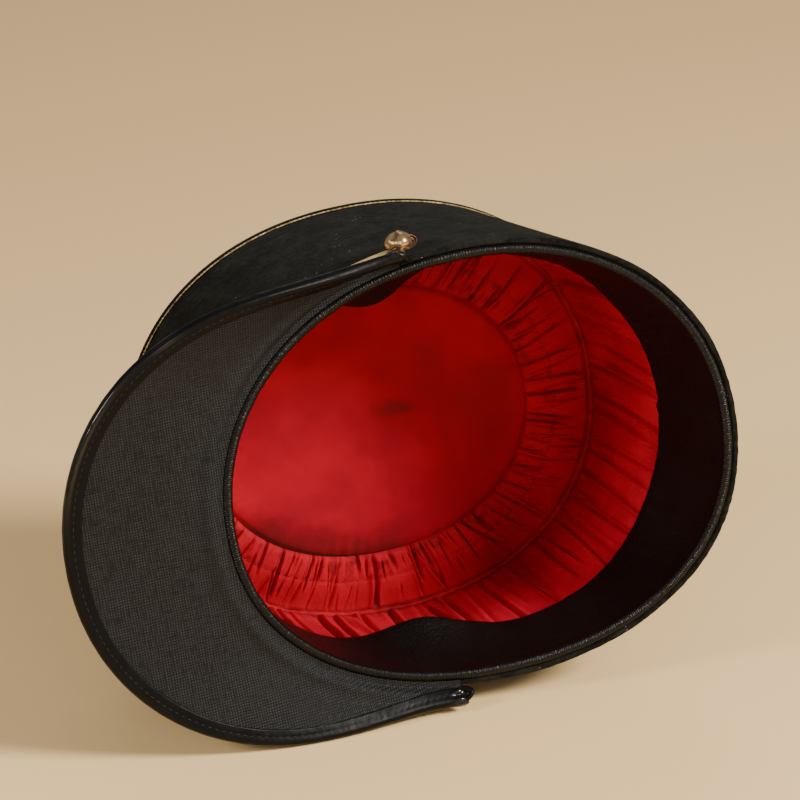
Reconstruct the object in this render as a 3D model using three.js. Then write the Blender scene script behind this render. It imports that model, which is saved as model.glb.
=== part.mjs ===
// Kepi cap lying on its right side: a stiff felt crown with a flat top and a piped edge, a leather peak with
// a bound edge, a corded strap with a button at each end, a leather sweatband and a gathered red lining.
//
// Every piece is drawn in the cap's own coordinates, in millimetres: x to the wearer's left, y to the back of
// the head, z up to the crown's top, from the middle of the mouth. An angle t goes round the head from the
// wearer's left by the back. The last section lays the finished cap down, with Z up.
import * as THREE from "three";
import { ConvexHull } from "three/addons/math/ConvexHull.js";

const DEGREE = Math.PI / 180;
const GAP = 0.3; // air left between pieces that are sewn or pressed together

// Crown
const RIM_HALF_WIDTH = 87.1;
const RIM_HALF_LENGTH = 104;
const RIM_EGG = 0.042; // the mouth is wider towards the back by this share
const RIM_ARCH = 12.5; // rise of the rim over each ear
const RIM_DROP = 1.35; // the nape lies this much lower, and the brow this much higher
const ROUNDNESS = 2.15; // power of the oval that the mouth and the top follow
const CROWN_HEIGHT = 110.2; // from the mouth to the middle of the piping
const TOP_HALF_WIDTH = 86.8;
const TOP_HALF_LENGTH = 100;
const TOP_EGG = 0.004;
const TOP_FORWARD = 12.4; // how far the crown leans over the peak
const FELT = 2.5;
const TOP_THICKNESS = 2.5;
const PIPING_RADIUS = 0.75;

// Peak
const PEAK_LENGTH = 60.2;
const PEAK_SWEEP = 82.7 * DEGREE; // reach of the peak to each side of the brow
const PEAK_SLOPE = 4.1 * DEGREE; // downward slope over the brow
const PEAK_SLOPE_RIGHT = 47.4 * DEGREE; // downward slope at the right end
const PEAK_SLOPE_LEFT = 80 * DEGREE; // the left end has been bent down more
const PEAK_CURVE = 2; // how soon the outline leaves the brow
const PEAK_TAPER = 1.645; // how hollow the outline runs out to the ends
const PEAK_BOARD = 1.2;
const PEAK_LINING = 1;
const PEAK_END_MARGIN = 0.7; // width of the ends inside the binding
const WALL_RUN_OUT = 8 * DEGREE; // stretch in which the wall comes down to the rim behind the peak
const BINDING = 1; // leather wrapped round the peak's edge
const BINDING_STRIP = 7.2;
const BINDING_ROUND = 0.6; // how round its edge is, as a share of half its thickness

// Sweatband and the roll that joins it to the rim
const ROLL_RADIUS = 1.8;
const ROLL_PROUD = 0.8; // how far the roll stands below the felt
const SWEATBAND = 1.3;
const SWEATBAND_HEIGHT = 43.2;
const SWEATBAND_LEAN = { front: 6.7, side: 10.5, back: 11.4 }; // free edge to the outside of the wall

// Lining
const LINING = 1;
const DISC_HALF_WIDTH = 55;
const DISC_HALF_LENGTH = 67.3;
const DISC_FORWARD = 15.5;
const DISC_DEPTH = 6; // under the middle of the piping
const SEAM_RADIUS = 1.2;
const SEAM_DEPTH = 3.5; // under the middle of the piping
const SEAM_INSET = { front: 4.6, side: 6.2, back: 7.8 };
const GATHER_COUNT = 56;
const GATHER_DEPTH = 1.5;
const GATHER_PUFF = 3; // how far the gathered ring swells towards the mouth
const GATHER_UNEVENNESS = 0.25; // share of the fold depth by which the gathers differ
const SIDE_FOLD_DEPTH = 1;
const LINING_TUCK = 9; // length of lining behind the sweatband

// Strap and buttons
const STRAP_WIDTH = 5.5;
const STRAP_THICKNESS = 2.4;
const STRAP_RISE = 0.4; // over the peak
const STRAP_TAIL = 4.5; // past the middle of each button
const STRAP_ROUND = 0.4; // share of its thickness and half width taken off along its outer edges
const BUTTONS = [
  { name: "button_left", angle: 83.8 * DEGREE, rise: 0 },
  { name: "button_right", angle: -80.2 * DEGREE, rise: 2.6 }, // clear of the peak's right end, which stands higher
]; // angle from the brow, and height over the middle of the strap
const BUTTON_RADIUS = 5.2;
const BUTTON_HEIGHT = 6.2;

// Weight of the materials in grams per cubic centimetre, which settles how the cap lies
const CLOTH_DENSITY = 0.3;
const LEATHER_DENSITY = 0.9;
const BRASS_DENSITY = 8.5;

// Steps round the shapes
const RING_STEPS = 72;
const CORD_STEPS = 60;
const PEAK_STEPS = 40;
const STRAP_STEPS = 40;
const CORD_SIDES = 6;
const NOSE_STEPS = 5;
const BUTTON_SIDES = 16;

// Shares of the sweatband's height at which its section bends
const SWEATBAND_SECTIONS = [0, 0.4, 0.75, 1];

// Places where the sweatband's free edge buckles inwards, as shares of the mouth's half width and of a turn
const SWEATBAND_DENTS = [
  { name: "right temple", turn: 0.525, depth: 0.12, width: 0.026 },
  { name: "left temple", turn: 0.972, depth: 0.14, width: 0.024 },
];

// Sections of the gathered ring from the disc to the seam: distance across it, and how much of the puff and
// of the fold depth is there. The running stitch that draws the folds together lies near the second one.
const GATHER_SECTIONS = [
  { across: 0, puff: 0, fold: 0.35 },
  { across: 0.22, puff: 0.9, fold: 1 },
  { across: 0.6, puff: 0.75, fold: 0.6 },
  { across: 1, puff: 0, fold: 0 },
];

// Sections of the side lining from the seam to the edge behind the sweatband: distance down it, and shares of
// the fold depth and of the way from the felt to the back of the sweatband's free edge
const SIDE_SECTIONS = [
  { down: 0, fold: 0, slack: 0.5 },
  { down: 0.2, fold: 1, slack: 0.5 },
  { down: 0.86, fold: 0.7, slack: 0.5 },
  { down: 1, fold: 0, slack: 0 },
];

// Outline of a button from its back to the top of its dome, as shares of its radius and height
const BUTTON_SECTIONS = [
  { wide: 0, high: 0 },
  { wide: 0.65, high: 0 },
  { wide: 0.9, high: 0.12 },
  { wide: 1, high: 0.34 },
  { wide: 0.95, high: 0.58 },
  { wide: 0.78, high: 0.79 },
  { wide: 0.46, high: 0.94 },
  { wide: 0, high: 1 },
];

function material(density, color, roughness, metalness = 0) {
  const finish = new THREE.MeshStandardMaterial({ color, roughness, metalness });
  finish.userData.density = density;
  return finish;
}

const felt = material(CLOTH_DENSITY, 0x17181a, 0.97);
const goldCord = material(CLOTH_DENSITY, 0xa98a4e, 0.5, 0.6);
const peakLeather = material(LEATHER_DENSITY, 0x111112, 0.35);
const grainedLeather = material(LEATHER_DENSITY, 0x26272a, 0.6);
const patentLeather = material(LEATHER_DENSITY, 0x0b0b0c, 0.15);
const sweatLeather = material(LEATHER_DENSITY, 0x150f0e, 0.5);
const redCotton = material(CLOTH_DENSITY, 0xa91820, 0.75);
const brass = material(BRASS_DENSITY, 0x8c6f3c, 0.4, 0.9);

// The mouth, the wall and what lies inside it

// The two parts of an oval's outline at angle t, each from -1 to 1: across the head and along it.
function ovalShares(t) {
  const power = 2 / ROUNDNESS;
  const across = Math.sign(Math.cos(t)) * Math.abs(Math.cos(t)) ** power;
  const along = Math.sign(Math.sin(t)) * Math.abs(Math.sin(t)) ** power;
  return { across, along };
}

function ovalPoint(t, halfWidth, halfLength, egg, forward) {
  const { across, along } = ovalShares(t);
  return new THREE.Vector2(halfWidth * across * (1 + egg * along), halfLength * along - forward);
}

function rimPoint(t) {
  return ovalPoint(t, RIM_HALF_WIDTH, RIM_HALF_LENGTH, RIM_EGG, 0);
}

function topPoint(t) {
  return ovalPoint(t, TOP_HALF_WIDTH, TOP_HALF_LENGTH, TOP_EGG, TOP_FORWARD);
}

function discPoint(t) {
  return ovalPoint(t, DISC_HALF_WIDTH, DISC_HALF_LENGTH, 0, DISC_FORWARD);
}

function rimHeight(t) {
  const { across, along } = ovalShares(t);
  return RIM_ARCH * across ** 2 - RIM_DROP * along ** 3;
}

// Level direction away from the head, square to the rim.
function outward(t) {
  const sliver = DEGREE / 20;
  const run = rimPoint(t + sliver).sub(rimPoint(t - sliver)).normalize();
  return new THREE.Vector3(run.y, -run.x, 0);
}

// Point at height z and a distance inside the wall's outer face.
function wallPoint(t, z, inset) {
  const share = (z - rimHeight(t)) / (CROWN_HEIGHT - rimHeight(t));
  const level = rimPoint(t).lerp(topPoint(t), share);
  return new THREE.Vector3(level.x, level.y, z).addScaledVector(outward(t), -inset);
}

// A size that has its own value at the front, the sides and the back of the head.
function around(size, t) {
  const lengthwise = Math.sin(t) ** 2;
  const end = Math.sin(t) < 0 ? size.front : size.back;
  return size.side * (1 - lengthwise) + end * lengthwise;
}

// Angle from the brow, from minus half a turn to half a turn.
function fromBrow(t) {
  const turn = t + Math.PI / 2;
  return turn - 2 * Math.PI * Math.round(turn / (2 * Math.PI));
}

const rollInset = FELT + GAP + ROLL_RADIUS;
const sweatbandFoot = 2 * ROLL_RADIUS - ROLL_PROUD + GAP;

// How far the dents push the sweatband's free edge in at angle t.
function dentDepth(t) {
  let depth = 0;
  for (const dent of SWEATBAND_DENTS) {
    const away = t / (2 * Math.PI) - dent.turn;
    const nearest = (away - Math.round(away)) / dent.width;
    depth += RIM_HALF_WIDTH * dent.depth * Math.exp(-(nearest ** 2) / 2);
  }
  return depth;
}

// Distance from the wall's outer face to the middle of the sweatband, from its foot at 0 to its edge at 1.
function sweatbandInset(t, share) {
  const edge = around(SWEATBAND_LEAN, t) - SWEATBAND / 2;
  return rollInset + (edge - rollInset) * share + dentDepth(t) * share ** 2;
}

function sweatbandHeight(t, share) {
  const foot = rimHeight(t) + sweatbandFoot;
  return foot + (SWEATBAND_HEIGHT - foot) * share;
}

// Skins

// Closed skin over sections that all have as many points. profileAt(station) gives a section's flat outline,
// and placeAt(station, point) sets one of its points in space. A ring's last section joins its first, and
// anything else gets flat ends. Each four-sided patch is split along its shorter diagonal.
function loft(stations, profileAt, placeAt, isRing) {
  const first = profileAt(stations[0]);
  const sides = first.length;
  const points = stations.flatMap((station) => profileAt(station).map((point) => placeAt(station, point)));
  const faces = [];
  const spans = isRing ? stations.length : stations.length - 1;
  for (let span = 0; span < spans; span += 1) {
    const here = span * sides;
    const next = ((span + 1) % stations.length) * sides;
    for (let side = 0; side < sides; side += 1) {
      const other = (side + 1) % sides;
      const [a, b, c, d] = [here + side, next + side, next + other, here + other];
      const isShort = points[a].distanceTo(points[c]) < points[b].distanceTo(points[d]);
      faces.push(...(isShort ? [a, b, c, a, c, d] : [a, b, d, b, c, d]));
    }
  }
  if (!isRing) {
    const last = (stations.length - 1) * sides;
    const clockwise = THREE.ShapeUtils.isClockWise(first);
    for (const [a, b, c] of THREE.ShapeUtils.triangulateShape(first, [])) {
      const [q, r] = clockwise ? [c, b] : [b, c];
      faces.push(a, q, r);
      faces.push(last + a, last + r, last + q);
    }
  }
  const skin = new THREE.BufferGeometry().setFromPoints(points);
  skin.setIndex(faces);
  if (signedVolume(skin) < 0) skin.setIndex(faces.reverse());
  skin.computeVertexNormals();
  return skin;
}

// Calls visit with the three corners of each triangle.
function eachTriangle(geometry, visit) {
  const position = geometry.getAttribute("position");
  const index = geometry.getIndex();
  const count = index ? index.count : position.count;
  const corner = (i) => new THREE.Vector3().fromBufferAttribute(position, index ? index.getX(i) : i);
  for (let i = 0; i < count; i += 3) visit(corner(i), corner(i + 1), corner(i + 2));
}

function signedVolume(geometry) {
  let volume = 0;
  eachTriangle(geometry, (a, b, c) => {
    volume += a.dot(b.clone().cross(c)) / 6;
  });
  return volume;
}

function turnStations(steps) {
  return Array.from({ length: steps }, (_, i) => (2 * Math.PI * i) / steps);
}

function spanStations(from, to, steps) {
  return Array.from({ length: steps + 1 }, (_, i) => from + ((to - from) * i) / steps);
}

// Round section with corners on the circle.
function circleProfile(radius, sides) {
  return Array.from({ length: sides }, (_, i) => {
    const angle = (2 * Math.PI * (i + 0.5)) / sides;
    return new THREE.Vector2(radius * Math.cos(angle), radius * Math.sin(angle));
  });
}

function ovalPlate(outlineAt, thickness) {
  const outline = new THREE.Shape(turnStations(RING_STEPS).map(outlineAt));
  return new THREE.ExtrudeGeometry(outline, { depth: thickness, bevelEnabled: false });
}

// A thin sheet's closed outline from rows of middle points, each row with its offset direction.
function sheetProfile(rows, thickness) {
  const half = thickness / 2;
  const face = rows.map(({ x, y, nx, ny }) => new THREE.Vector2(x + nx * half, y + ny * half));
  const back = rows.map(({ x, y, nx, ny }) => new THREE.Vector2(x - nx * half, y - ny * half));
  return [...face, ...back.reverse()];
}

// Crown

// The wall stands on the peak over the brow, and comes down to the rim from one ring step behind its ends.
const boardBottom = PEAK_LINING + GAP;
const peakTop = boardBottom + PEAK_BOARD;

function wallFoot(t) {
  const clear = PEAK_SWEEP + (2 * Math.PI) / RING_STEPS;
  const past = THREE.MathUtils.smoothstep(Math.abs(fromBrow(t)), clear, clear + WALL_RUN_OUT);
  return rimHeight(t) + (peakTop + GAP) * (1 - past);
}

function crownSide() {
  const neck = PIPING_RADIUS + GAP;
  const profileAt = (t) => [
    new THREE.Vector2(0, wallFoot(t)),
    new THREE.Vector2(0, CROWN_HEIGHT - neck),
    new THREE.Vector2(neck, CROWN_HEIGHT - neck),
    new THREE.Vector2(neck, CROWN_HEIGHT + PIPING_RADIUS),
    new THREE.Vector2(FELT, CROWN_HEIGHT + PIPING_RADIUS),
    new THREE.Vector2(FELT, wallFoot(t)),
  ];
  return loft(turnStations(RING_STEPS), profileAt, (t, p) => wallPoint(t, p.y, p.x), true);
}

function crownTop() {
  const plate = ovalPlate(topPoint, TOP_THICKNESS);
  plate.translate(0, 0, CROWN_HEIGHT + PIPING_RADIUS + GAP);
  return plate;
}

function topPiping() {
  const profile = circleProfile(PIPING_RADIUS, CORD_SIDES);
  const place = (t, p) => wallPoint(t, CROWN_HEIGHT, 0).addScaledVector(outward(t), p.x).setZ(CROWN_HEIGHT + p.y);
  return loft(turnStations(CORD_STEPS), () => profile, place, true);
}

// Peak

// Length of the peak in front of the rim. side goes from -1 at the right end to 1 at the left end.
function peakLength(side) {
  const front = PEAK_LENGTH * (1 - Math.abs(side) ** PEAK_CURVE) ** PEAK_TAPER;
  return front + (BINDING_STRIP + PEAK_END_MARGIN) * side ** 4;
}

// Point of the peak at a distance out from the rim and a lift square to its underside, which runs level under
// the wall and slopes from the rim on.
function peakPoint(side, point) {
  const t = -Math.PI / 2 + side * PEAK_SWEEP;
  const endSlope = side < 0 ? PEAK_SLOPE_RIGHT : PEAK_SLOPE_LEFT;
  const slope = PEAK_SLOPE + (endSlope - PEAK_SLOPE) * side ** 2;
  const reach = Math.max(point.x, 0);
  const level = Math.min(point.x, 0);
  let out = level + reach * Math.cos(slope);
  let up = -reach * Math.sin(slope);
  if (point.x > 0) {
    out += point.y * Math.sin(slope);
    up += point.y * Math.cos(slope);
  } else {
    out += point.x < 0 ? 0 : point.y * Math.tan(slope / 2);
    up += point.y;
  }
  const rim = rimPoint(t);
  return new THREE.Vector3(rim.x, rim.y, rimHeight(t) + up).addScaledVector(outward(t), out);
}

// Flat layer of the peak from under the wall to the binding's lip, and on to a distance short of the edge if
// one is given.
function peakLayer(bottom, top, shortOfEdge) {
  const profileAt = (side) => {
    const lip = peakLength(side) - BINDING_STRIP - GAP;
    const outs = [-FELT, 0, lip / 2, lip];
    if (shortOfEdge) outs.push(peakLength(side) - shortOfEdge);
    const under = outs.map((out) => new THREE.Vector2(out, bottom));
    const over = outs.map((out) => new THREE.Vector2(out, top));
    return [...under, ...over.reverse()];
  };
  return loft(spanStations(-1, 1, PEAK_STEPS), profileAt, peakPoint, false);
}

function peak() {
  return peakLayer(boardBottom, peakTop, BINDING + GAP);
}

function peakLining() {
  return peakLayer(0, PEAK_LINING);
}

// Leather folded round the peak's edge, with a leaf above and one below.
function peakBinding() {
  const low = PEAK_LINING - BINDING;
  const high = peakTop + GAP + BINDING;
  const middle = (low + high) / 2;
  const round = (high - low) / 2;
  const noseDepth = BINDING_ROUND * round;
  const profileAt = (side) => {
    const edge = peakLength(side);
    const lip = edge - BINDING_STRIP;
    const nose = spanStations(-Math.PI / 2, Math.PI / 2, NOSE_STEPS).map((angle) => {
      const out = edge - noseDepth * (1 - Math.cos(angle));
      return new THREE.Vector2(out, middle + round * Math.sin(angle));
    });
    return [
      new THREE.Vector2(lip, low),
      ...nose,
      new THREE.Vector2(lip, high),
      new THREE.Vector2(lip, high - BINDING),
      new THREE.Vector2(edge - BINDING, high - BINDING),
      new THREE.Vector2(edge - BINDING, low + BINDING),
      new THREE.Vector2(lip, low + BINDING),
    ];
  };
  return loft(spanStations(-1, 1, PEAK_STEPS), profileAt, peakPoint, false);
}

// Sweatband

function rimRoll() {
  const profile = circleProfile(ROLL_RADIUS, CORD_SIDES);
  const place = (t, p) => {
    const z = rimHeight(t) + ROLL_RADIUS - ROLL_PROUD;
    return wallPoint(t, z, rollInset - p.x).setZ(z + p.y);
  };
  return loft(turnStations(RING_STEPS), () => profile, place, true);
}

function sweatband() {
  const profileAt = (t) => sheetProfile(
    SWEATBAND_SECTIONS.map((share) => ({ x: sweatbandInset(t, share), y: share, nx: 1, ny: 0 })),
    SWEATBAND,
  );
  const place = (t, p) => wallPoint(t, sweatbandHeight(t, p.y), p.x);
  return loft(turnStations(RING_STEPS), profileAt, place, true);
}

// Lining

const discFace = CROWN_HEIGHT - DISC_DEPTH;
const seamHeight = CROWN_HEIGHT - SEAM_DEPTH;

function liningDisc() {
  const plate = ovalPlate(discPoint, LINING);
  plate.translate(0, 0, discFace);
  return plate;
}

function liningSeam() {
  const profile = circleProfile(SEAM_RADIUS, CORD_SIDES);
  const place = (t, p) => wallPoint(t, seamHeight, around(SEAM_INSET, t) - p.x).setZ(seamHeight + p.y);
  return loft(turnStations(CORD_STEPS), () => profile, place, true);
}

// Each gather is a crest and a hollow, some of them deeper than others: two waves that never fall in step with
// the gathers set how deep.
function gatherStations() {
  return Array.from({ length: 2 * GATHER_COUNT }, (_, i) => {
    const crest = i % 2 === 0 ? 1 : -1;
    const wave = Math.sin(2.4 * i) * Math.cos(0.7 * i);
    const depth = 1 - GATHER_UNEVENNESS * (1 - wave);
    return { t: (Math.PI * i) / GATHER_COUNT, fold: crest * depth };
  });
}

function liningGather() {
  const profileAt = ({ t, fold }) => {
    const inner = discPoint(t);
    const seam = wallPoint(t, seamHeight, around(SEAM_INSET, t) + SEAM_RADIUS + GAP);
    const width = inner.distanceTo(new THREE.Vector2(seam.x, seam.y)) - GAP;
    const start = discFace + LINING / 2;
    const rows = GATHER_SECTIONS.map((section) => {
      const swell = GATHER_PUFF * section.puff + GATHER_DEPTH * section.fold * fold;
      const base = start + (seamHeight - start) * section.across;
      return { x: GAP + width * section.across, y: base - swell, nx: 0, ny: 1 };
    });
    return sheetProfile(rows, LINING);
  };
  const place = ({ t }, p) => {
    const inner = discPoint(t);
    const seam = wallPoint(t, seamHeight, around(SEAM_INSET, t) + SEAM_RADIUS + GAP);
    const away = new THREE.Vector2(seam.x, seam.y).sub(inner).normalize();
    return new THREE.Vector3(inner.x + away.x * p.x, inner.y + away.y * p.x, p.y);
  };
  return loft(gatherStations(), profileAt, place, true);
}

function liningSide() {
  const top = seamHeight - SEAM_RADIUS - GAP;
  const foot = SWEATBAND_HEIGHT - LINING_TUCK;
  const hem = FELT + GAP + LINING / 2;
  const profileAt = ({ t, fold }) => {
    const start = around(SEAM_INSET, t);
    const back = around(SWEATBAND_LEAN, t) - SWEATBAND - GAP - LINING / 2;
    const room = (back - hem) / 2;
    const depth = Math.min(SIDE_FOLD_DEPTH, room);
    const rows = SIDE_SECTIONS.map((section) => {
      const lower = hem + 2 * room * section.slack;
      const rest = section.down === 0 ? start : lower;
      return { x: rest + depth * section.fold * fold, y: top + (foot - top) * section.down, nx: 1, ny: 0 };
    });
    return sheetProfile(rows, LINING);
  };
  return loft(gatherStations(), profileAt, ({ t }, p) => wallPoint(t, p.y, p.x), true);
}

// Strap and buttons

function strapHeight(t) {
  return rimHeight(t) + peakTop + GAP + STRAP_RISE + STRAP_WIDTH / 2;
}

// Flat cord from button to button round the front, with its two outer edges rounded off.
function chinStrap() {
  const half = STRAP_WIDTH / 2;
  const flat = half * (1 - STRAP_ROUND);
  const face = GAP + STRAP_THICKNESS;
  const shoulder = face - STRAP_THICKNESS * STRAP_ROUND;
  const profile = [
    new THREE.Vector2(GAP, -half),
    new THREE.Vector2(GAP, half),
    new THREE.Vector2(shoulder, half),
    new THREE.Vector2(face, flat),
    new THREE.Vector2(face, -flat),
    new THREE.Vector2(shoulder, -half),
  ];
  const tail = STRAP_TAIL / RIM_HALF_WIDTH;
  const [left, right] = BUTTONS;
  const from = -Math.PI / 2 + right.angle - tail;
  const to = -Math.PI / 2 + left.angle + tail;
  const place = (t, p) => wallPoint(t, strapHeight(t) + p.y, -p.x);
  return loft(spanStations(from, to, STRAP_STEPS), () => profile, place, false);
}

function button() {
  const outline = BUTTON_SECTIONS.map(
    ({ wide, high }) => new THREE.Vector2(wide * BUTTON_RADIUS, high * BUTTON_HEIGHT),
  );
  return new THREE.LatheGeometry(outline, BUTTON_SIDES);
}

// Assembly

const cap = new THREE.Group();

function add(name, geometry, finish) {
  const mesh = new THREE.Mesh(geometry, finish);
  mesh.name = name;
  cap.add(mesh);
  return mesh;
}

add("crown_side", crownSide(), felt);
add("crown_top", crownTop(), felt);
add("top_piping", topPiping(), goldCord);
add("peak", peak(), peakLeather);
add("peak_lining", peakLining(), grainedLeather);
add("peak_binding", peakBinding(), patentLeather);
add("rim_roll", rimRoll(), sweatLeather);
add("sweatband", sweatband(), sweatLeather);
add("lining_disc", liningDisc(), redCotton);
add("lining_gather", liningGather(), redCotton);
add("lining_seam", liningSeam(), redCotton);
add("lining_side", liningSide(), redCotton);
add("chin_strap", chinStrap(), goldCord);

for (const { name, angle, rise } of BUTTONS) {
  const t = -Math.PI / 2 + angle;
  const mesh = add(name, button(), brass);
  mesh.position.copy(wallPoint(t, strapHeight(t) + rise, -(STRAP_THICKNESS + 2 * GAP)));
  mesh.quaternion.setFromUnitVectors(new THREE.Vector3(0, 1, 0), outward(t));
}

// Laying the cap on its right side

// All corners of the pieces and their centre of mass, in the cap's coordinates.
function cornersAndCentre() {
  const corners = [];
  const centre = new THREE.Vector3();
  let total = 0;
  for (const mesh of cap.children) {
    mesh.updateMatrix();
    const placed = mesh.geometry.clone().applyMatrix4(mesh.matrix);
    eachTriangle(placed, (a, b, c) => {
      const mass = (mesh.material.userData.density * a.dot(b.clone().cross(c))) / 6;
      centre.addScaledVector(a.clone().add(b).add(c), mass / 4);
      total += mass;
      corners.push(a, b, c);
    });
  }
  return { corners, centre: centre.divideScalar(total) };
}

// Direction in the cap that points down when it rests: the outer face of its convex hull, under the centre of
// mass, that faces the wearer's right most.
function restingDown() {
  const { corners, centre } = cornersAndCentre();
  const hull = new ConvexHull().setFromPoints(corners);
  const right = new THREE.Vector3(-1, 0, 0);
  const down = right.clone();
  let nearest = Infinity;
  for (const face of hull.faces) {
    const edges = [face.edge, face.edge.next, face.edge.prev];
    const triangle = new THREE.Triangle(...edges.map((edge) => edge.head().point));
    const plane = new THREE.Plane().setFromNormalAndCoplanarPoint(face.normal, triangle.a);
    const foot = plane.projectPoint(centre, new THREE.Vector3());
    const turn = face.normal.angleTo(right);
    if (triangle.containsPoint(foot) && turn < nearest) {
      nearest = turn;
      down.copy(face.normal);
    }
  }
  return down;
}

// The mouth faces -Y, the peak points to -X and the wearer's left side is up.
const onItsSide = new THREE.Quaternion().setFromRotationMatrix(new THREE.Matrix4().makeBasis(
  new THREE.Vector3(0, 0, 1),
  new THREE.Vector3(1, 0, 0),
  new THREE.Vector3(0, 1, 0),
));
const down = restingDown().applyQuaternion(onItsSide);
const tip = new THREE.Quaternion().setFromUnitVectors(down, new THREE.Vector3(0, 0, -1));
cap.quaternion.copy(tip.multiply(onItsSide));

const kepi = new THREE.Group();
kepi.add(cap);
kepi.updateMatrixWorld(true);
const box = new THREE.Box3().setFromObject(kepi, true);
cap.position.set(-(box.min.x + box.max.x) / 2, -(box.min.y + box.max.y) / 2, -box.min.z);

export default kepi;
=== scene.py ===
"""Kepi cap lying on its side: the looks of each piece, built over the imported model.

Shapes are worked out in the cap's own millimetres: x to the wearer's left, y to the nape, z up the crown. An
angle t goes round the head from the wearer's left by the nape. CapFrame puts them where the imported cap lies.
"""

from __future__ import annotations

import logging
import math
from contextlib import contextmanager
from dataclasses import dataclass, field
from enum import Enum
from typing import Any, Callable, ClassVar, Iterable, Iterator, Sequence

import bpy
import numpy as np
from mathutils import Matrix, Vector

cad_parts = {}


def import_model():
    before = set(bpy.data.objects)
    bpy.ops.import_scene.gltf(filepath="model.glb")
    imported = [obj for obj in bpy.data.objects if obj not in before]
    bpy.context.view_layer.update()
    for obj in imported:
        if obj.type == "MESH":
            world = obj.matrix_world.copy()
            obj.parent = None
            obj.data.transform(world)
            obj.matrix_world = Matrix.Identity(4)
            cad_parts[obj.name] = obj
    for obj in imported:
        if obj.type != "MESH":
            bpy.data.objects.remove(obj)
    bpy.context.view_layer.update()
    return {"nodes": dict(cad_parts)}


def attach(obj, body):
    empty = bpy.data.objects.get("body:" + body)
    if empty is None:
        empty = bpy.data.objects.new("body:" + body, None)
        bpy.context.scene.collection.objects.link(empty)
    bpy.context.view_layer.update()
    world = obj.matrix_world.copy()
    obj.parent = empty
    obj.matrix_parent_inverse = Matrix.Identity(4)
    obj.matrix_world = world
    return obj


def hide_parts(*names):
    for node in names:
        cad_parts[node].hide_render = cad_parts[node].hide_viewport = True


log = logging.getLogger("kepi")

MM = 0.001
TURN = 2 * math.pi
BROW = -math.pi / 2
Array = np.ndarray
Colour = tuple[float, float, float]
Course = tuple[Array, Array, Array]
Piece = bpy.types.Object
Socket = bpy.types.NodeSocket


def smooth_step(value: Array, low: float, high: float) -> Array:
    """Rises softly from 0 at low to 1 at high."""
    share = np.clip((value - low) / (high - low), 0, 1)
    return share * share * (3 - 2 * share)


def unit(vectors: Array) -> Array:
    """Scales each row to length 1."""
    return vectors / np.maximum(np.linalg.norm(vectors, axis=-1, keepdims=True), 1e-12)


@dataclass(frozen=True)
class Ripples:
    """Seeded waves round the head, for folds, dents and unevenness that never quite repeat."""

    seed: int
    count: int
    slowest: int
    fastest: int
    drift: float = 0.0

    def at(self, t: Array, across: Array | float = 0.0) -> Array:
        """Height of the waves, mostly between -1 and 1.

        Args:
            t: Angle round the head.
            across: Place across the piece, along which each wave drifts sideways.

        Returns:
            One height for each angle.
        """
        rng = np.random.default_rng(self.seed)
        total = np.zeros_like(np.asarray(t, float) + across)
        for _ in range(self.count):
            pace = rng.integers(self.slowest, self.fastest + 1)
            lean = rng.uniform(-self.drift, self.drift)
            total += np.cos(pace * t + lean * across + rng.uniform(0, TURN))
        return total / math.sqrt(self.count)


@dataclass(frozen=True)
class Creases:
    """Seeded separate creases across a gathered ring, each with its own place, width, depth and lean."""

    seed: int
    count: int
    width: tuple[float, float]
    depth: tuple[float, float]
    start: tuple[float, float]
    end: tuple[float, float]
    lean: tuple[float, float]
    swell: float = 0.4

    def at(self, t: Array, across: Array) -> tuple[Array, Array]:
        """Relief of the creases, with a low fold beside each.

        Args:
            t: Angle round the head.
            across: Share of the way along the creases.

        Returns:
            Relief in millimetres, below 0 in a crease, and from 0 to 1 how deep in one each point lies.
        """
        rng = np.random.default_rng(self.seed)
        relief, hollow = np.zeros_like(t), np.zeros_like(t)
        for number in range(self.count):
            middle = TURN * (number + rng.uniform(-0.42, 0.42)) / self.count
            width, depth = rng.uniform(*self.width), rng.uniform(*self.depth)
            start, end = rng.uniform(*self.start), rng.uniform(*self.end)
            lean, bend = rng.uniform(*self.lean), rng.uniform(-0.03, 0.03)
            hand = rng.choice([-1.0, 1.0])
            away = t - middle - lean * across - bend * across**2
            away -= TURN * np.round(away / TURN)
            near = np.abs(away) < 7 * width
            place, share = hand * away[near] / width, across[near]
            shown = smooth_step(share, start - 0.08, start + 0.06) * (1 - smooth_step(share, end - 0.3, end))
            steep = np.where(place < 0, place * 1.9, place * 0.8)
            valley = np.exp(-(steep**2)) * shown
            fold = np.exp(-(((place + 1.5) / 1.1) ** 2)) * shown
            relief[near] += depth * (self.swell * fold - valley)
            inside = np.exp(-((steep * 1.3) ** 2)) * shown * min(1, depth / 1.2)
            hollow[near] = np.maximum(hollow[near], inside)
        return relief, hollow


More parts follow.
